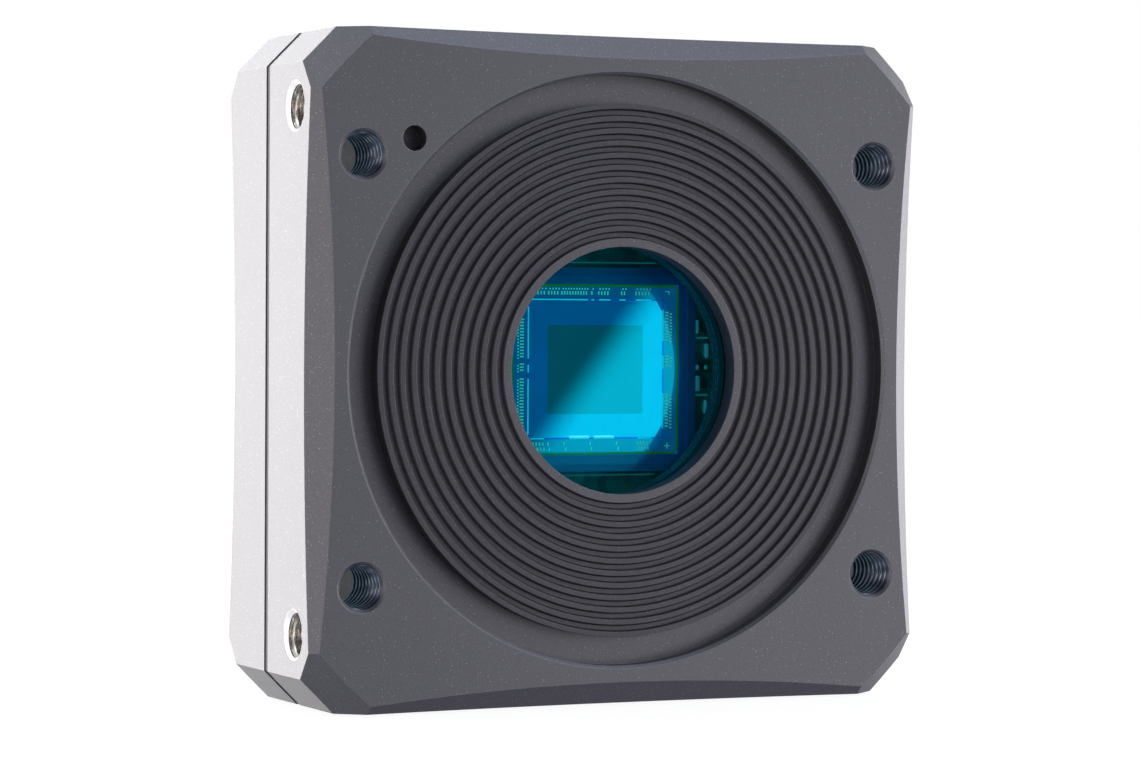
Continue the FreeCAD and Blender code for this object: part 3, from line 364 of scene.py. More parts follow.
class Shader(Nodes):
    """A material with short calls for its textures, whose lengths are in millimetres."""

    def __init__(self, name):
        self.material = bpy.data.materials.new(name)
        super().__init__(self.material, "ShaderNodeOutputMaterial")
        self.position = self.vectors("SCALE", self.add("ShaderNodeTexCoord").outputs["Object"], 1 / MM)

    def coordinate(self, axis):
        node = self.add("ShaderNodeSeparateXYZ")
        self.plug(self.position, node.inputs[0])
        return node.outputs[axis]

    def noise(self, per_mm, detail=2.0, vector=None):
        node = self.add("ShaderNodeTexNoise")
        self.plug(vector or self.position, node.inputs["Vector"])
        node.inputs["Scale"].default_value = per_mm
        node.inputs["Detail"].default_value = detail
        return node.outputs["Fac"]

    def cells(self, per_mm, feature="F1"):
        node = self.add("ShaderNodeTexVoronoi", feature=feature)
        self.plug(self.position, node.inputs["Vector"])
        node.inputs["Scale"].default_value = per_mm
        return node.outputs["Distance"]

    def blend(self, share, a, b):
        """Mix two colours."""
        node = self.add("ShaderNodeMix", data_type="RGBA")
        self.plug(share, node.inputs["Factor"])
        self.plug((*a, 1.0) if isinstance(a, tuple) else a, node.inputs["A"])
        self.plug((*b, 1.0) if isinstance(b, tuple) else b, node.inputs["B"])
        return node.outputs["Result"]

    def bump(self, height, depth_mm, strength, normal=None):
        node = self.add("ShaderNodeBump")
        self.plug(height, node.inputs["Height"])
        node.inputs["Distance"].default_value = depth_mm * MM
        node.inputs["Strength"].default_value = strength
        if normal is not None:
            self.plug(normal, node.inputs["Normal"])
        return node.outputs[0]

    def rounded_normal(self, radius_mm):
        node = self.add("ShaderNodeBevel", samples=4)
        node.inputs["Radius"].default_value = radius_mm * MM
        return node.outputs[0]

    def edge_share(self, radius_mm):
        """Near 1 beside a sharp edge, and 0 on open surface."""
        true_normal = self.add("ShaderNodeNewGeometry").outputs["Normal"]
        agreement = self.vectors("DOT_PRODUCT", self.rounded_normal(radius_mm), true_normal)
        return self.spread(agreement, 0.995, 0.90)

    def surface(self, **sockets):
        """Finish with one Principled shader; names use _ for spaces."""
        node = self.add("ShaderNodeBsdfPrincipled")
        for key, value in sockets.items():
            if isinstance(value, tuple):
                value = (*value, 1.0)
            self.plug(value, node.inputs[key.replace("_", " ")])
        self.plug(node.outputs[0], self.output.inputs["Surface"])
        return self.material


def shade(colour, factor):
    """The colour made darker or brighter."""
    return tuple(min(1.0, c * factor) for c in colour)


# ---- materials -----------------------------------------------------------------------------------
def anodised(name, colour, roughness, grain, wear_and_sheen=0.5, edge_mm=0.10, wear_and_sheen_mm=0.16):
    """Bead-blasted, dyed aluminium: fine dents, painted sparkle of bright facets and specks, and edges
    lighter partly from wear and partly as a painted highlight.
    """
    s = Shader(name)
    dents = s.cells(6.5, "SMOOTH_F1")
    fine = s.noise(14.0, 1.0)
    cloud = s.noise(0.05, 3.0)
    painted_glints = s.spread(s.noise(9.0, 0.0), 0.70, 0.80)
    painted_sparkle = s.spread(s.cells(1.6), 0.14, 0.07)
    patches = s.spread(s.noise(1.3, 2.0), 0.25, 0.6, 0.35, 1.0)
    edge = s.times(s.edge_share(wear_and_sheen_mm), patches)
    body = s.blend(cloud, shade(colour, 0.92), shade(colour, 1.08))
    body = s.blend(s.spread(fine, 0.3, 0.7), body, shade(colour, 1.35))
    # painted sparkle: random facets and specks three times brighter, standing in for glints
    body = s.blend(s.times(painted_glints, 0.6), body, shade(colour, 3.0))
    body = s.blend(s.times(painted_sparkle, 0.7), body, shade(colour, 3.0))
    # edges lighter, partly wear and partly a painted highlight
    body = s.blend(s.times(edge, wear_and_sheen), body, shade(colour, 2.6))
    rough = s.spread(fine, 0.2, 0.8, roughness - 0.05, roughness + 0.07)
    height = s.plus(s.times(dents, 0.8), s.times(fine, 0.5))
    normal = s.bump(height, grain, 0.6, s.rounded_normal(edge_mm))
    return s.surface(Base_Color=body, Metallic=0.9, Roughness=rough, Normal=normal)


def dyed_thread(name, colour, crest, glow):
    """Thread in the front holes: dark dyed flanks, and crests made lighter partly from wear and partly as a
    painted highlight, with a painted glow; both grow deeper in the hole.
    """
    s = Shader(name)
    x = s.maths("SUBTRACT", s.maths("ABSOLUTE", s.coordinate("X")), TAP_X)
    z = s.maths("SUBTRACT", s.maths("ABSOLUTE", s.coordinate("Z")), TAP_Z)
    radius = s.maths("SQRT", s.plus(s.times(x, x), s.times(z, z)))
    patches = s.spread(s.noise(1.4, 2.0), 0.25, 0.7, 0.4, 1.0)
    # crest mask: partly wear, partly painted highlight
    wear_and_sheen = s.times(s.spread(radius, TAP_R + 0.13, TAP_R + 0.05), patches)
    # the painted highlight grows deeper in the hole
    wear_and_sheen = s.times(wear_and_sheen, s.spread(s.coordinate("Y"), 0.5, 4.5, 0.35, 1.0))
    body = s.blend(wear_and_sheen, s.blend(s.noise(3.0, 2.0), colour, shade(colour, 1.6)), crest)
    # painted glow on the crests
    light = s.vectors("SCALE", glow, wear_and_sheen)
    return s.surface(Base_Color=body, Metallic=0.9, Roughness=0.28, Normal=s.rounded_normal(0.02),
                     Emission_Color=light, Emission_Strength=1.0)


def turned_bore(name, colour, line, glow):
    """Black anodised bore with fine tool rings round the optical axis, drawn as painted highlight lines,
    and a painted glow that is strongest on the rings.
    """
    s = Shader(name)
    tool_rings_and_sheen = s.spread(s.maths("SINE", s.times(s.coordinate("Y"), 11.0)), 0.80, 0.98)
    tool_rings_and_sheen = s.times(tool_rings_and_sheen, s.spread(s.noise(2.6, 3.0), 0.46, 0.62, 0.15, 1.0))
    # the rings drawn in the light line colour: painted highlight lines
    body = s.blend(tool_rings_and_sheen, s.blend(s.noise(4.0, 2.0), colour, shade(colour, 1.5)), line)
    normal = s.bump(tool_rings_and_sheen, 0.02, 0.6, s.rounded_normal(0.06))
    # painted glow over the whole bore, strongest on the rings
    light = s.vectors("SCALE", glow, s.plus(tool_rings_and_sheen, 0.12))
    return s.surface(Base_Color=body, Metallic=0.8, Roughness=0.36, Normal=normal,
                     Emission_Color=light, Emission_Strength=1.0)


def bare_metal(name, colour, roughness, lines=False, scratch=0.5, glow=0.0):
    """Cut, bare metal with tool marks, as lines along Y or an even haze; glow sets a painted glow in its
    own colour.
    """
    s = Shader(name)
    if lines:
        marks = s.noise(1.0, 3.0, s.vectors("MULTIPLY", s.position, (14.0, 0.6, 14.0)))
    else:
        marks = s.noise(5.0, 4.0)
    body = s.blend(s.spread(s.noise(0.8, 3.0), 0.3, 0.75), colour, shade(colour, 0.72))
    rough = s.spread(marks, 0.2, 0.8, roughness - 0.06, roughness + 0.10)
    normal = s.bump(marks, 0.02, scratch, s.rounded_normal(0.05))
    # glow: painted light, the metal shining in its own colour with no lamp
    return s.surface(Base_Color=body, Metallic=1.0, Roughness=rough, Normal=normal,
                     Emission_Color=colour, Emission_Strength=glow)


def plastic(name, colour, roughness, grain_per_mm=5.0, depth=0.02, coat=0.0):
    """Moulded or cast plastic or rubber with a fine texture and a little dust."""
    s = Shader(name)
    texture = s.noise(grain_per_mm, 3.0)
    dust = s.spread(s.noise(0.35, 5.0), 0.45, 0.75)
    dusty = tuple(0.7 * c + 0.05 for c in colour)
    body = s.blend(s.times(dust, 0.25), colour, dusty)
    body = s.blend(s.spread(texture, 0.3, 0.7, 0.0, 0.5), body, shade(colour, 1.25))
    rough = s.spread(texture, 0.2, 0.8, roughness - 0.06, roughness + 0.08)
    normal = s.bump(texture, depth, 0.5, s.rounded_normal(0.08))
    return s.surface(Base_Color=body, Roughness=rough, Normal=normal, Coat_Weight=coat)


VIA_GOLD = (0.55, 0.45, 0.24)


def circuit_board(name, mask):
    """Solder mask over copper traces, with vias."""
    s = Shader(name)
    flat = s.add("ShaderNodeCombineXYZ")
    s.plug(s.coordinate("X"), flat.inputs["X"])
    s.plug(s.coordinate("Z"), flat.inputs["Y"])
    brick = s.add("ShaderNodeTexBrick", offset=0.37, squash=0.6, squash_frequency=3)
    s.plug(flat.outputs[0], brick.inputs["Vector"])
    brick.inputs["Scale"].default_value = 0.9
    brick.inputs["Mortar Size"].default_value = 0.07
    brick.inputs["Mortar Smooth"].default_value = 0.2
    traces = s.times(brick.outputs["Fac"], s.spread(s.noise(0.35, 1.0), 0.42, 0.5))
    vias = s.spread(s.cells(0.55), 0.16, 0.11)
    weave = s.noise(6.0, 2.0)
    body = s.blend(s.spread(weave, 0.3, 0.7), mask, shade(mask, 1.3))
    body = s.blend(s.times(traces, 0.75), body, shade(mask, 2.4))
    body = s.blend(vias, body, VIA_GOLD)
    height = s.plus(s.plus(traces, vias), s.times(weave, 0.15))
    rough = s.spread(weave, 0.2, 0.8, 0.24, 0.36)
    return s.surface(Base_Color=body, Roughness=rough, Normal=s.bump(height, 0.03, 0.8), Coat_Weight=0.3)


def optical_reflector(name, colour, glow, roughness, streak=0.0):
    """Polished silicon or metal under glass: a coloured mirror, with a painted glow standing in for light
    that the glass scatters.
    """
    s = Shader(name)
    lines = s.noise(1.0, 1.0, s.vectors("MULTIPLY", s.position, (9.0, 9.0, 0.4)))
    body = s.blend(s.times(s.spread(lines, 0.35, 0.65), streak), colour, shade(colour, 0.7))
    # painted glow in place of light scattered in the glass
    painted_glow = s.blend(s.spread(s.noise(0.15, 2.0), 0.3, 0.7, 0.0, 0.5), glow, shade(glow, 0.7))
    rough = s.spread(s.noise(0.4, 2.0), 0.3, 0.7, roughness, roughness * 1.3)
    return s.surface(Base_Color=body, Metallic=1.0, Roughness=rough, Emission_Color=painted_glow,
                     Emission_Strength=1.0)


def coated_glass(name, tint, reflection, smear=0.35):
    """Thin coated pane that tints what is behind it, and mirrors more at grazing angles."""
    s = Shader(name)
    haze = s.spread(s.noise(0.12, 4.0), 0.35, 0.8)
    clear = s.add("ShaderNodeBsdfTransparent")
    s.plug(s.blend(s.times(haze, smear * 0.1), tint, shade(tint, 0.85)), clear.inputs["Color"])
    mirror = s.add("ShaderNodeBsdfGlossy")
    mirror.inputs["Color"].default_value = (0.75, 0.9, 1.0, 1.0)
    s.plug(s.spread(haze, 0.0, 1.0, 0.01, 0.01 + 0.05 * smear), mirror.inputs["Roughness"])
    fresnel = s.add("ShaderNodeFresnel")
    fresnel.inputs["IOR"].default_value = 1.5
    s.show_mixed(s.times(fresnel.outputs[0], reflection), clear, mirror)
    return s.material


# finish: the maker's arguments, in its order
ANODISED = {
    "shell": ("anodised_shell", (0.150, 0.148, 0.158), 0.50, 0.020),
    "baffle": ("anodised_baffle", (0.088, 0.087, 0.095), 0.48, 0.026, 0.6, 0.03, 0.035),
    "lip": ("anodised_lip", (0.125, 0.124, 0.132), 0.48, 0.026, 0.6, 0.05, 0.05),
}
# the thread's crest colour is partly wear and partly painted highlight, and its glow is painted light
DYED_THREADS = {"thread": ("dyed_thread", (0.06, 0.07, 0.09), (0.55, 0.65, 0.75), (0.035, 0.055, 0.075))}
TURNED_BORES = {
    # the bore's line colour paints highlight lines, and its glow is painted light
    "black_anodised": ("black_anodised_turned", (0.03, 0.04, 0.05), (0.30, 0.50, 0.60), (0.03, 0.11, 0.15)),
}
BARE_METALS = {
    "bare_thread": ("cut_thread", (0.80, 0.76, 0.71), 0.22),
    # the mouth's and the drill point's glows are painted light: a bright ring and a glint in the hole's end
    "mouth": ("cut_mouth", (0.97, 0.97, 0.97), 0.50, False, 0.3, 0.5),
    "drill_point": ("drill_point", (0.85, 0.83, 0.78), 0.45, False, 1.0, 0.05),
    "aluminium": ("milled_aluminium", (0.74, 0.75, 0.77), 0.30, True),
    "steel": ("stainless_steel", (0.62, 0.62, 0.64), 0.26),
    "black_steel": ("black_oxide_steel", (0.045, 0.045, 0.05), 0.34),
    "copper": ("bare_copper", (0.86, 0.42, 0.26), 0.28, True),
    "bronze": ("sintered_bronze", (0.62, 0.42, 0.2), 0.5),
    "stator": ("laminated_steel", (0.42, 0.42, 0.45), 0.36),
    "nickel": ("nickel_plate", (0.74, 0.72, 0.67), 0.18),
    "gold": ("gold_plate", (0.95, 0.70, 0.28), 0.2),
    "tin": ("tinned_end", (0.78, 0.79, 0.80), 0.22),
    "tellurite": ("tellurite", (0.25, 0.25, 0.28), 0.42),
}
PLASTICS = {
    "rubber": ("black_rubber", (0.012, 0.012, 0.013), 0.62),
    "gasket": ("grey_gasket", (0.115, 0.110, 0.115), 0.6),
    "black_plastic": ("moulded_black", (0.022, 0.022, 0.024), 0.42),
    "rotor": ("rotor_black", (0.018, 0.018, 0.020), 0.34),
    "guard": ("powder_coat_black", (0.022, 0.022, 0.024), 0.40, 2.5, 0.05),
    "magnet": ("bonded_ferrite", (0.05, 0.045, 0.045), 0.55),
    "natural": ("glass_filled_plastic", (0.72, 0.66, 0.48), 0.5),
    "white": ("pressed_white", (0.82, 0.82, 0.79), 0.7),
    "alumina": ("white_alumina", (0.84, 0.84, 0.82), 0.38),
    "ceramic": ("dark_ceramic", (0.06, 0.50, 0.85), 0.35, 3.0, 0.01),
    "chip_body": ("chip_ceramic", (0.20, 0.15, 0.10), 0.4),
    "film": ("amber_film", (0.50, 0.24, 0.05), 0.28, 2.0, 0.01, 0.4),
    "nylon": ("natural_nylon", (0.80, 0.80, 0.74), 0.42),
    "wire": ("red_silicone_sleeve", (0.42, 0.03, 0.02), 0.45),
    "led": ("clear_epoxy", (0.90, 0.90, 0.78), 0.2, 2.0, 0.005, 0.5),
}
BOARDS = {
    "board": ("solder_mask", (0.012, 0.075, 0.045)),
    "sensor_board": ("sensor_board_mask", (0.02, 0.26, 0.20)),
}
# each glow below is painted light; bus is the bus lines' metal painted lit and bus_blue the same metal
# painted in shade, and bar's strong glow is a painted highlight on the wide bars
REFLECTORS = {
    "die": ("silicon_margin", (0.0, 0.42, 0.38), (0.0, 0.075, 0.20), 0.001),
    "border": ("silicon_border", (0.0, 0.86, 0.85), (0.0, 0.055, 0.19), 0.001, 0.20),
    "array": ("pixel_array", (0.0, 0.62, 0.64), (0.0, 0.055, 0.055), 0.001),
    "bus": ("bus_metal", (0.60, 1.0, 1.0), (0.10, 0.30, 0.32), 0.30),
    "bar": ("wide_bus_metal", (1.0, 1.0, 1.0), (1.0, 0.40, 0.40), 0.05),
    "bus_blue": ("bus_oxide", (0.02, 0.16, 0.85), (0.0, 0.02, 0.22), 0.10),
    "pad": ("bond_pad", (0.90, 1.0, 0.62), (0.30, 0.30, 0.17), 0.34),
    "seal": ("die_edge", (0.10, 0.22, 0.02), (0.02, 0.09, 0.015), 0.3),
    "solder": ("solder", (0.90, 0.95, 1.0), (0.05, 0.10, 0.11), 0.22),
    "silk": ("board_ink", (0.20, 0.30, 0.30), (0.02, 0.09, 0.09), 0.5),
}
GLASSES = {
    "window": ("tinted_window", (0.26, 0.88, 0.945), 0.04),
    "cover": ("cover_glass", (0.98, 0.99, 1.0), 1.0, 0.05),
    "light_pipe": ("acrylic_rod", (0.85, 0.92, 0.85), 1.0),
}


def make_materials():
    """Every finish, by its short name."""
    makers = ((anodised, ANODISED), (dyed_thread, DYED_THREADS), (turned_bore, TURNED_BORES),
              (bare_metal, BARE_METALS), (plastic, PLASTICS), (circuit_board, BOARDS),
              (optical_reflector, REFLECTORS), (coated_glass, GLASSES))
    return {finish: maker(*arguments) for maker, table in makers for finish, arguments in table.items()}


# ---- front shell ---------------------------------------------------------------------------------
def thread_cutter(depth, start):
    """Points and faces of an M6 thread form about the local Z axis, from start to depth."""
    rows = int((depth - start) / THREAD_PITCH * ROWS_PER_TURN)
    points = []
    for row in range(rows + 1):
        height = start + (depth - start) * row / rows
        for s in range(THREAD_SEGMENTS):
            phase = (height / THREAD_PITCH - s / THREAD_SEGMENTS) % 1.0
            ramp = min(1.0, max(0.0, (abs(phase - 0.5) * 2 - ROOT_FLAT) / BOTH_FLANKS))
            r = (TAP_R + THREAD_GAP) + (THREAD_ROOT_R - TAP_R) * (1 - ramp)
            angle = 2 * math.pi * s / THREAD_SEGMENTS
            points.append((r * math.cos(angle), r * math.sin(angle), height))
    faces = ring_faces(rows + 1, THREAD_SEGMENTS)
    faces.append(tuple(range(THREAD_SEGMENTS - 1, -1, -1)))
    faces.append(tuple(range(rows * THREAD_SEGMENTS, (rows + 1) * THREAD_SEGMENTS)))
    return points, faces


def all_thread_cutters():
    """The cutters for the front and side holes as one object."""
    along_y = Matrix.Rotation(math.radians(-90), 3, "X")
    placings = [(along_y, Vector((x, 0, z)), FRONT_TAP_DEPTH) for x, z in FRONT_TAPS]
    for side in (-1, 1):
        along_x = Matrix.Rotation(math.radians(-90 * side), 3, "Y")
        for z in (-SIDE_TAP_Z, SIDE_TAP_Z):
            placings.append((along_x, Vector((side * BODY_HALF, SIDE_TAP_Y, z)), SIDE_TAP_DEPTH))
    points, faces = [], []
    for turn, at, depth in placings:
        thread_points, thread_faces = thread_cutter(depth - THREAD_END, THREAD_START)
        first = len(points)
        points += [tuple(turn @ Vector(p) + at) for p in thread_points]
        faces += [tuple(first + i for i in face) for face in thread_faces]
    return object_from("thread_cutters", points, faces)


SHELL_FINISHES = ("shell", "bare_thread", "thread", "mouth", "drill_point")


def shell_finish(point):
    """Which of the shell's finishes a face has, from its centre, with a little slack round each hole."""
    x, y, z = (c / MM for c in point)
    across = math.hypot(y - SIDE_TAP_Y, abs(z) - SIDE_TAP_Z)
    depth = BODY_HALF - abs(x)
    if across < TAP_MOUTH_R + 0.02 and 0.01 < depth < SIDE_TAP_DEPTH + 2:
        return "mouth" if depth < SIDE_MOUTH_DEPTH and across > TAP_R + 0.04 else "bare_thread"
    across = min(math.hypot(x - tap_x, z - tap_z) for tap_x, tap_z in FRONT_TAPS)
    if across < TAP_MOUTH_R and y > FRONT_MOUTH_DEPTH:
        return "drill_point" if y > FRONT_TAP_DEPTH - 0.1 else "thread"
    return "shell"


def front_shell(m):
    """The front housing with real M6 threads cut in its eight holes."""
    mesh = nodes["front_housing"].data.copy()
    mesh.materials.clear()
    stored = mesh.attributes.get("custom_normal")
    if stored is not None:
        mesh.attributes.remove(stored)
    shell = link("front_shell", mesh)
    bm = bmesh.new()                    # merged points close the mesh, which the boolean needs
    bm.from_mesh(mesh)
    bmesh.ops.remove_doubles(bm, verts=bm.verts, dist=1e-7)
    bm.to_mesh(mesh)
    bm.free()
    cutter = all_thread_cutters()
    cut = shell.modifiers.new("threads", "BOOLEAN")
    cut.operation = "DIFFERENCE"
    cut.solver = "EXACT"
    cut.object = cutter
    apply_modifiers(shell)
    bpy.data.objects.remove(cutter)
    smooth(shell.data, SHELL_CREASE)
    for finish in SHELL_FINISHES:
        dressed(shell, m[finish])
    for face in shell.data.polygons:
        face.material_index = SHELL_FINISHES.index(shell_finish(face.center))
    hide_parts("front_housing")
    return shell


# ---- baffle and seam -----------------------------------------------------------------------------
def baffle_outline():
    """The ribbed disc's (radius, y) section."""
    floor_y = BAFFLE_TOP + RIB_DEPTH
    outline = [(APERTURE_R, BAFFLE_TOP), (LIP_R, BAFFLE_TOP)]
    for rib in range(RIB_COUNT):
        r = LIP_R + rib * RIB_PITCH
        outline += [(r + RIB_FLANK, floor_y), (r + RIB_FLANK + RIB_FLOOR, floor_y),
                    (r + 2 * RIB_FLANK + RIB_FLOOR, BAFFLE_TOP), (r + RIB_PITCH, BAFFLE_TOP)]
    outline += [(BAFFLE_R, RECESS_DEPTH), (SPIGOT_R, RECESS_DEPTH), (SPIGOT_R, SPIGOT_BACK),
                (WINDOW_POCKET_R, SPIGOT_BACK), (WINDOW_POCKET_R, WINDOW_FRONT), (APERTURE_R, WINDOW_FRONT)]
    return outline


def ribbed_baffle(m):
    """The disc round the window, with blasted, slightly rounded ribs and a lighter lip."""
    baffle = lathe("ribbed_baffle", rounded(baffle_outline(), RIB_ROUNDING), BAFFLE_SEGMENTS, BAFFLE_CREASE)
    dressed(baffle, m["baffle"])
    dressed(baffle, m["lip"])
    for face in baffle.data.polygons:
        if abs(face.normal.y) > 0.999:      # a crest or a groove's floor, shaded as the flat that it is
            face.use_smooth = False
        if math.hypot(face.center.x, face.center.z) < (LIP_R - 0.01) * MM:
            face.material_index = 1
    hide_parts("window_baffle")
    return baffle


def seam_packing(m):
    """The strip that shows in the seam between the two shells, a little below their sides."""
    front, back = SEAM_FROM_TO
    outer, inner = SEAM_INSET, SEAM_INSET + SEAM_WALL
    points = []
    for inset, y in ((outer, front), (outer, back), (inner, back), (inner, front)):
        half, beside = BODY_HALF - inset, CORNER_SUM - BODY_HALF - inset * (math.sqrt(2) - 1)
        points += [(half, y, -beside), (half, y, beside), (beside, y, half), (-beside, y, half),
                   (-half, y, beside), (-half, y, -beside), (-beside, y, -half), (beside, y, -half)]
    strip = object_from("seam_packing", points, ring_faces(4, 8, closed=True))
    dressed(strip, m["gasket"])
    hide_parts("housing_gasket")
    return strip


# ---- image sensor --------------------------------------------------------------------------------
def pad_spans(rows, shift=0.0):
    """Where each pad of the rows starts and ends."""
    spans = []
    for first, last, count in rows:
        for i in range(count):
            middle = first + (last - first) * i / max(1, count - 1) + shift
            spans.append((middle - PAD_WIDTH / 2, middle + PAD_WIDTH / 2))
    return spans


def bond_pads(m):
    """Two staggered rows of pads along each side of the die, and the marks in its corners."""
    y = (DIE_FRONT - PAD_RISE, DIE_FRONT)
    boxes = []
    for pads, (inner, outer) in ((TOP_PADS, TOP_ROWS), (BOTTOM_PADS, BOTTOM_ROWS)):
        boxes += [(*span, *y, *inner) for span in pad_spans(pads)]
        boxes += [(*span, *y, *outer) for span in pad_spans(pads, PAD_STAGGER)]
    for pads, (inner, outer) in ((LEFT_PADS, LEFT_ROWS), (RIGHT_PADS, RIGHT_ROWS)):
        boxes += [(*inner, *y, *span) for span in pad_spans(pads)]
        boxes += [(*outer, *y, *span) for span in pad_spans(pads, -PAD_STAGGER)]
    boxes += [(x0, x1, *y, z0, z1) for x0, x1, z0, z1 in CORNER_MARKS]
    pads = dressed(bricks("bond_pads", boxes), m["pad"])
    return pads


def die_edge_line(y0, y1):
    """The flat frame with rounded corners round the die, from y0 to y1."""
    half_x, half_z = DIE_X / 2, DIE_Z / 2
    outer = rounded_rectangle(half_x, half_z, DIE_EDGE_R)
    inner = rounded_rectangle(half_x - DIE_EDGE_WIDTH, half_z - DIE_EDGE_WIDTH, DIE_EDGE_R - DIE_EDGE_WIDTH)
    rows = [(outer, y1), (outer, y0), (inner, y0), (inner, y1), (outer, y1)]
    points = [(x, y, z) for outline, y in rows for x, z in outline]
    return object_from("die_edge_line", points, ring_faces(len(rows), len(outer)))


def bus_frame(y):
    """Boxes of the closed line round the border, between the heights y: the bus lines painted in shade."""
    x0, x1, z0, z1 = BUS_X0, BUS_X1, BUS_Z0 + BUS_WIDTH, BUS_Z1 - BUS_WIDTH
    return [(x0, x1, *y, z1, BUS_Z1), (x0, x1, *y, BUS_Z0, z0),
            (x0, x0 + BUS_WIDTH, *y, z0, z1), (x1 - BUS_WIDTH, x1, *y, z0, z1)]


def bright_lines(y):
    """Boxes of the painted lit parts of the bus lines, between the heights y."""
    boxes = [(*span, *y, BUS_Z1 - BUS_WIDTH, BUS_Z1) for span in BRIGHT_TOP]
    boxes += [(*span, *y, BUS_Z0, BUS_Z0 + BUS_BOTTOM_WIDTH) for span in BRIGHT_BOTTOM]
    boxes += [(BUS_X0, BUS_X0 + BUS_SIDE_WIDTH, *y, *span) for span in BRIGHT_LEFT]
    boxes += [(BUS_X1 - BUS_SIDE_WIDTH, BUS_X1, *y, *span) for span in BRIGHT_RIGHT]
    return boxes


def sensor_details(m):
    """Pixel array, border, bus lines, pads and edge line on the silicon die."""
    low, middle, high = (DIE_FRONT - rise for rise in LAYER_RISES)
    bars_z = (BUS_Z0 + BUS_WIDTH, BUS_Z0 + WIDE_BAR_TOP)
    layers = (
        ("die_border", "border", [(BUS_X0, BUS_X1, low, DIE_FRONT, BUS_Z0, BUS_Z1)]),
        ("pixel_array", "array", [(-ARRAY_X / 2, ARRAY_X / 2, middle, low, -ARRAY_Z / 2, ARRAY_Z / 2)]),
        # the bus lines in painted shade, with their painted lit parts on top
        ("painted_shade_bus_frame", "bus_blue", bus_frame((middle, low))),
        ("wide_bars", "bar", [(*span, high, middle, *bars_z) for span in WIDE_BARS]),
        ("bus_lines", "bus", bright_lines((high, middle))),
        ("border_marks", "die", [(*span, middle, low, *DASH_Z) for span in DASHES]),
    )
    pieces = [dressed(bricks(name, boxes), m[finish]) for name, finish, boxes in layers]
    pieces.append(dressed(die_edge_line(low, DIE_FRONT), m["seal"]))
    return pieces + [bond_pads(m)]


# ---- parts on the sensor board -------------------------------------------------------------------
def on_board(x0, x1, z0, z1, rise):
    """A box that stands on the sensor board."""
    return (x0, x1, BOARD_FRONT - rise, BOARD_FRONT, z0, z1)


def add_chip(bodies, ends, x, z, size):
    """Add the body and the two tinned ends of one chip."""
    half, body_half, body_side, end_side, rise = size
    bodies.append(on_board(x - body_half, x + body_half, z - body_side, z + body_side, rise))
    for x0, x1 in ((x - half, x - body_half), (x + body_half, x + half)):
        ends.append(on_board(x0, x1, z - end_side, z + end_side, rise + CHIP_END_RISE))


def chip_parts(m):
    """Small chip parts on the sensor board: ceramic bodies, tinned ends and solder domes."""
    bodies, ends, domes = [], [], []
    for z in LEFT_CHIPS_Z:
        add_chip(bodies, ends, LEFT_CHIPS_X, z, LARGE_CHIP)
    for x, z, width, height in SOLDER_BY_PACKAGE:
        right = x + width / 2
        domes.append(on_board(x - width / 2, right, z - height / 2, z + height / 2, SOLDER_RISE))
        if width < height:
            length, side = SOLDERED_SIZE
            bodies.append(on_board(right, right + length, z - side, z + side, SOLDERED_RISE))
    bodies.append(on_board(*BETWEEN_SOLDER, SOLDERED_RISE))
    half_x, half_z = SIDE_CHIP_HALF
    for side in (-1, 1):
        x = side * SIDE_CHIP_X
        bodies.append(on_board(x - half_x, x + half_x, -half_z, half_z, SIDE_CHIP_RISE))
        for x in ROW_CHIPS_X:
            add_chip(bodies, ends, x, side * ROW_CHIPS_Z, SMALL_CHIP)
    body = softened(dressed(bricks("chip_bodies", bodies), m["chip_body"]), 0.05)
    caps = softened(dressed(bricks("chip_tinned_ends", ends), m["tin"]), 0.10, 3)
    solder = softened(dressed(bricks("solder_domes", domes), m["solder"]), 0.22, 4)
    lines = [on_board(*line, INK_RISE) for line in BOARD_LINES]
    ink = dressed(bricks("board_outline_marks", lines), m["silk"])
    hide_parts("sensor_board_parts")
    pieces = [body, caps, solder, ink]
    return pieces


# ---- CAD nodes that stay -------------------------------------------------------------------------
CAD_FINISHES = {
    "rear_housing": "shell", "case_screws": "black_steel", "window_glass": "window",
    "window_o_ring": "rubber", "chamber_body": "black_anodised", "chamber_screws": "steel",
    "chamber_o_ring": "rubber", "thermal_break_ring": "natural", "desiccant_tablets": "white",
    "sensor_package": "ceramic", "sensor_die": "die", "sensor_cover_glass": "cover",
    "sensor_board": "sensor_board", "sensor_board_screws": "steel", "sensor_flex_cable": "film",
    "flex_connector": "black_plastic", "cold_finger": "copper", "cold_finger_screws": "nylon",
    "tec_cold_plate": "alumina", "tec_pellets": "tellurite", "tec_hot_plate": "alumina",
    "tec_leads": "wire", "thermistor": "black_plastic", "heat_sink": "aluminium",
    "heat_sink_screws": "steel", "fan_frame": "black_plastic", "fan_screws": "steel",
    "fan_bearing": "bronze", "fan_stator": "stator", "fan_coils": "copper", "fan_rotor": "rotor",
    "fan_magnet_ring": "magnet", "fan_shaft": "steel", "fan_cable": "wire", "fan_guard": "guard",
    "main_board": "board", "main_board_chips": "black_plastic", "main_board_passives": "chip_body",
    "main_board_screws": "steel", "board_link": "black_plastic", "port_board": "board",
    "port_board_screws": "steel", "power_jack_body": "black_plastic", "power_jack_pin": "nickel",
    "usb_receptacle_shell": "nickel", "usb_receptacle_tongue": "black_plastic",
    "aux_socket_body": "black_plastic", "aux_socket_pins": "gold", "status_led": "led",
    "status_light_pipe": "light_pipe",
}


def dress_cad_nodes(m):
    """Give each node that stays its finish."""
    for node, finish in CAD_FINISHES.items():
        obj = nodes[node]
        if not obj.material_slots:
            dressed(obj, m[finish])
        for material_slot in obj.material_slots:
            material_slot.material = m[finish]


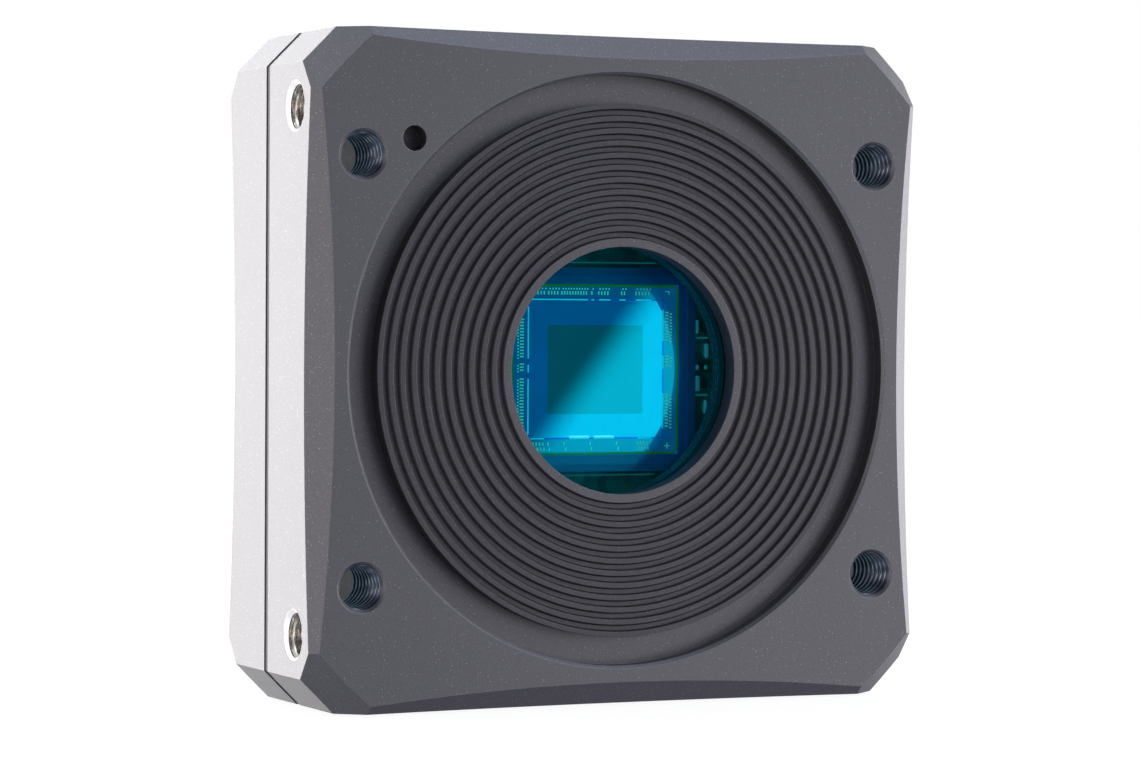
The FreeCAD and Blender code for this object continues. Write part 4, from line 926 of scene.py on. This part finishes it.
# ---- stage, lights and camera --------------------------------------------------------------------
def floor():
    """A plain pale floor just under the camera, which it doesn't reflect in."""
    half, z = FLOOR_HALF, cad_box[0][2] - FLOOR_DROP
    obj = link("floor", bpy.data.meshes.new("floor"))
    corners = [(-half, -half, z), (half, -half, z), (half, half, z), (-half, half, z)]
    obj.data.from_pydata(corners, [], [(0, 1, 2, 3)])
    s = Shader("pale_floor")
    lit = s.add("ShaderNodeBsdfDiffuse")
    lit.inputs["Color"].default_value = (FLOOR_GREY, FLOOR_GREY, FLOOR_GREY, 1)
    s.show_mixed(FLOOR_GLOW_SHARE, lit, s.glow("ShaderNodeEmission", (1, 1, 1, 1), FLOOR_GLOW))
    dressed(obj, s.material)
    obj.visible_glossy = False
    obj.visible_diffuse = False


def softbox():
    """A large lamp in front, to the right, whose soft edge crosses its own reflection in the sensor."""
    centre = SOFTBOX_TOWARDS * SOFTBOX_DISTANCE + Vector((0, DIE_FRONT * MM, 0))
    along = EDGE_NORMAL.cross(Vector((0, 1, 0)))
    start, end, side = EDGE_AT - EDGE_HALF, EDGE_AT + SOFTBOX_SIZE, SOFTBOX_SIZE / 2
    corners = [centre + EDGE_NORMAL * a + along * b
               for a, b in ((start, -side), (end, -side), (end, side), (start, side))]
    obj = link("softbox", bpy.data.meshes.new("softbox"))
    obj.data.from_pydata([tuple(corner) for corner in corners], [], [(0, 1, 2, 3)])
    s = Shader("softbox_glow")
    here = s.vectors("DOT_PRODUCT", s.add("ShaderNodeNewGeometry").outputs["Position"], EDGE_NORMAL)
    edge = centre.dot(EDGE_NORMAL) + EDGE_AT
    strength = s.spread(here, edge - EDGE_HALF, edge + EDGE_HALF, 0.0, SOFTBOX_STRENGTH)
    through = s.add("ShaderNodeAddShader")
    s.plug(s.glow("ShaderNodeEmission", strength=strength).outputs[0], through.inputs[0])
    s.plug(s.add("ShaderNodeBsdfTransparent").outputs[0], through.inputs[1])
    s.plug(through.outputs[0], s.output.inputs["Surface"])
    dressed(obj, s.material)
    obj.visible_camera = False
    obj.visible_shadow = False


def towards(azimuth, elevation):
    """Unit vector from degrees from +Y towards +X, and degrees up."""
    a, e = math.radians(azimuth), math.radians(elevation)
    return Vector((math.sin(a) * math.cos(e), math.cos(a) * math.cos(e), math.sin(e)))


def world():
    """White for the camera; reflections see a dim room with a few large soft panels."""
    sky = bpy.data.worlds.new("studio")
    bpy.context.scene.world = sky
    s = Nodes(sky, "ShaderNodeOutputWorld")
    direction = s.add("ShaderNodeTexCoord").outputs["Generated"]
    light = ROOM_BASE
    for azimuth, elevation, colour in PANELS:
        facing = s.vectors("DOT_PRODUCT", direction, towards(azimuth, elevation))
        share = s.spread(facing, math.cos(PANEL_FADED), math.cos(PANEL_FULL))
        light = s.vectors("ADD", light, s.vectors("SCALE", colour, share))
    seen_directly = s.add("ShaderNodeLightPath").outputs["Is Camera Ray"]
    s.show_mixed(seen_directly, s.glow("ShaderNodeBackground", light),
                 s.glow("ShaderNodeBackground", (1, 1, 1, 1)))


def camera():
    """The camera, aimed at VIEW_TARGET from VIEW_DISTANCE."""
    azimuth, elevation = math.radians(VIEW_AZIMUTH), math.radians(VIEW_ELEVATION)
    back = Vector((math.sin(azimuth) * math.cos(elevation), -math.cos(azimuth) * math.cos(elevation),
                   math.sin(elevation)))
    data = bpy.data.cameras.new("view")
    data.lens, data.sensor_width = LENS, SENSOR_WIDTH
    data.clip_start, data.clip_end = 0.01, 100.0
    obj = link("view", data)
    turn = back.to_track_quat("Z", "Y").to_matrix().to_4x4()
    roll = Matrix.Rotation(math.radians(VIEW_ROLL), 4, "Z")
    obj.matrix_world = Matrix.Translation(VIEW_TARGET + back * VIEW_DISTANCE) @ turn @ roll
    bpy.context.scene.camera = obj


def main():
    m = make_materials()
    shell = front_shell(m)
    baffle = ribbed_baffle(m)
    packing = seam_packing(m)
    for piece in [shell, baffle, packing] + sensor_details(m) + chip_parts(m):
        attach(piece, "camera")
    dress_cad_nodes(m)
    floor()
    softbox()
    world()
    camera()
    scene = bpy.context.scene
    scene.view_settings.view_transform = "Standard"
    scene.cycles.transparent_max_bounces = 24


main()
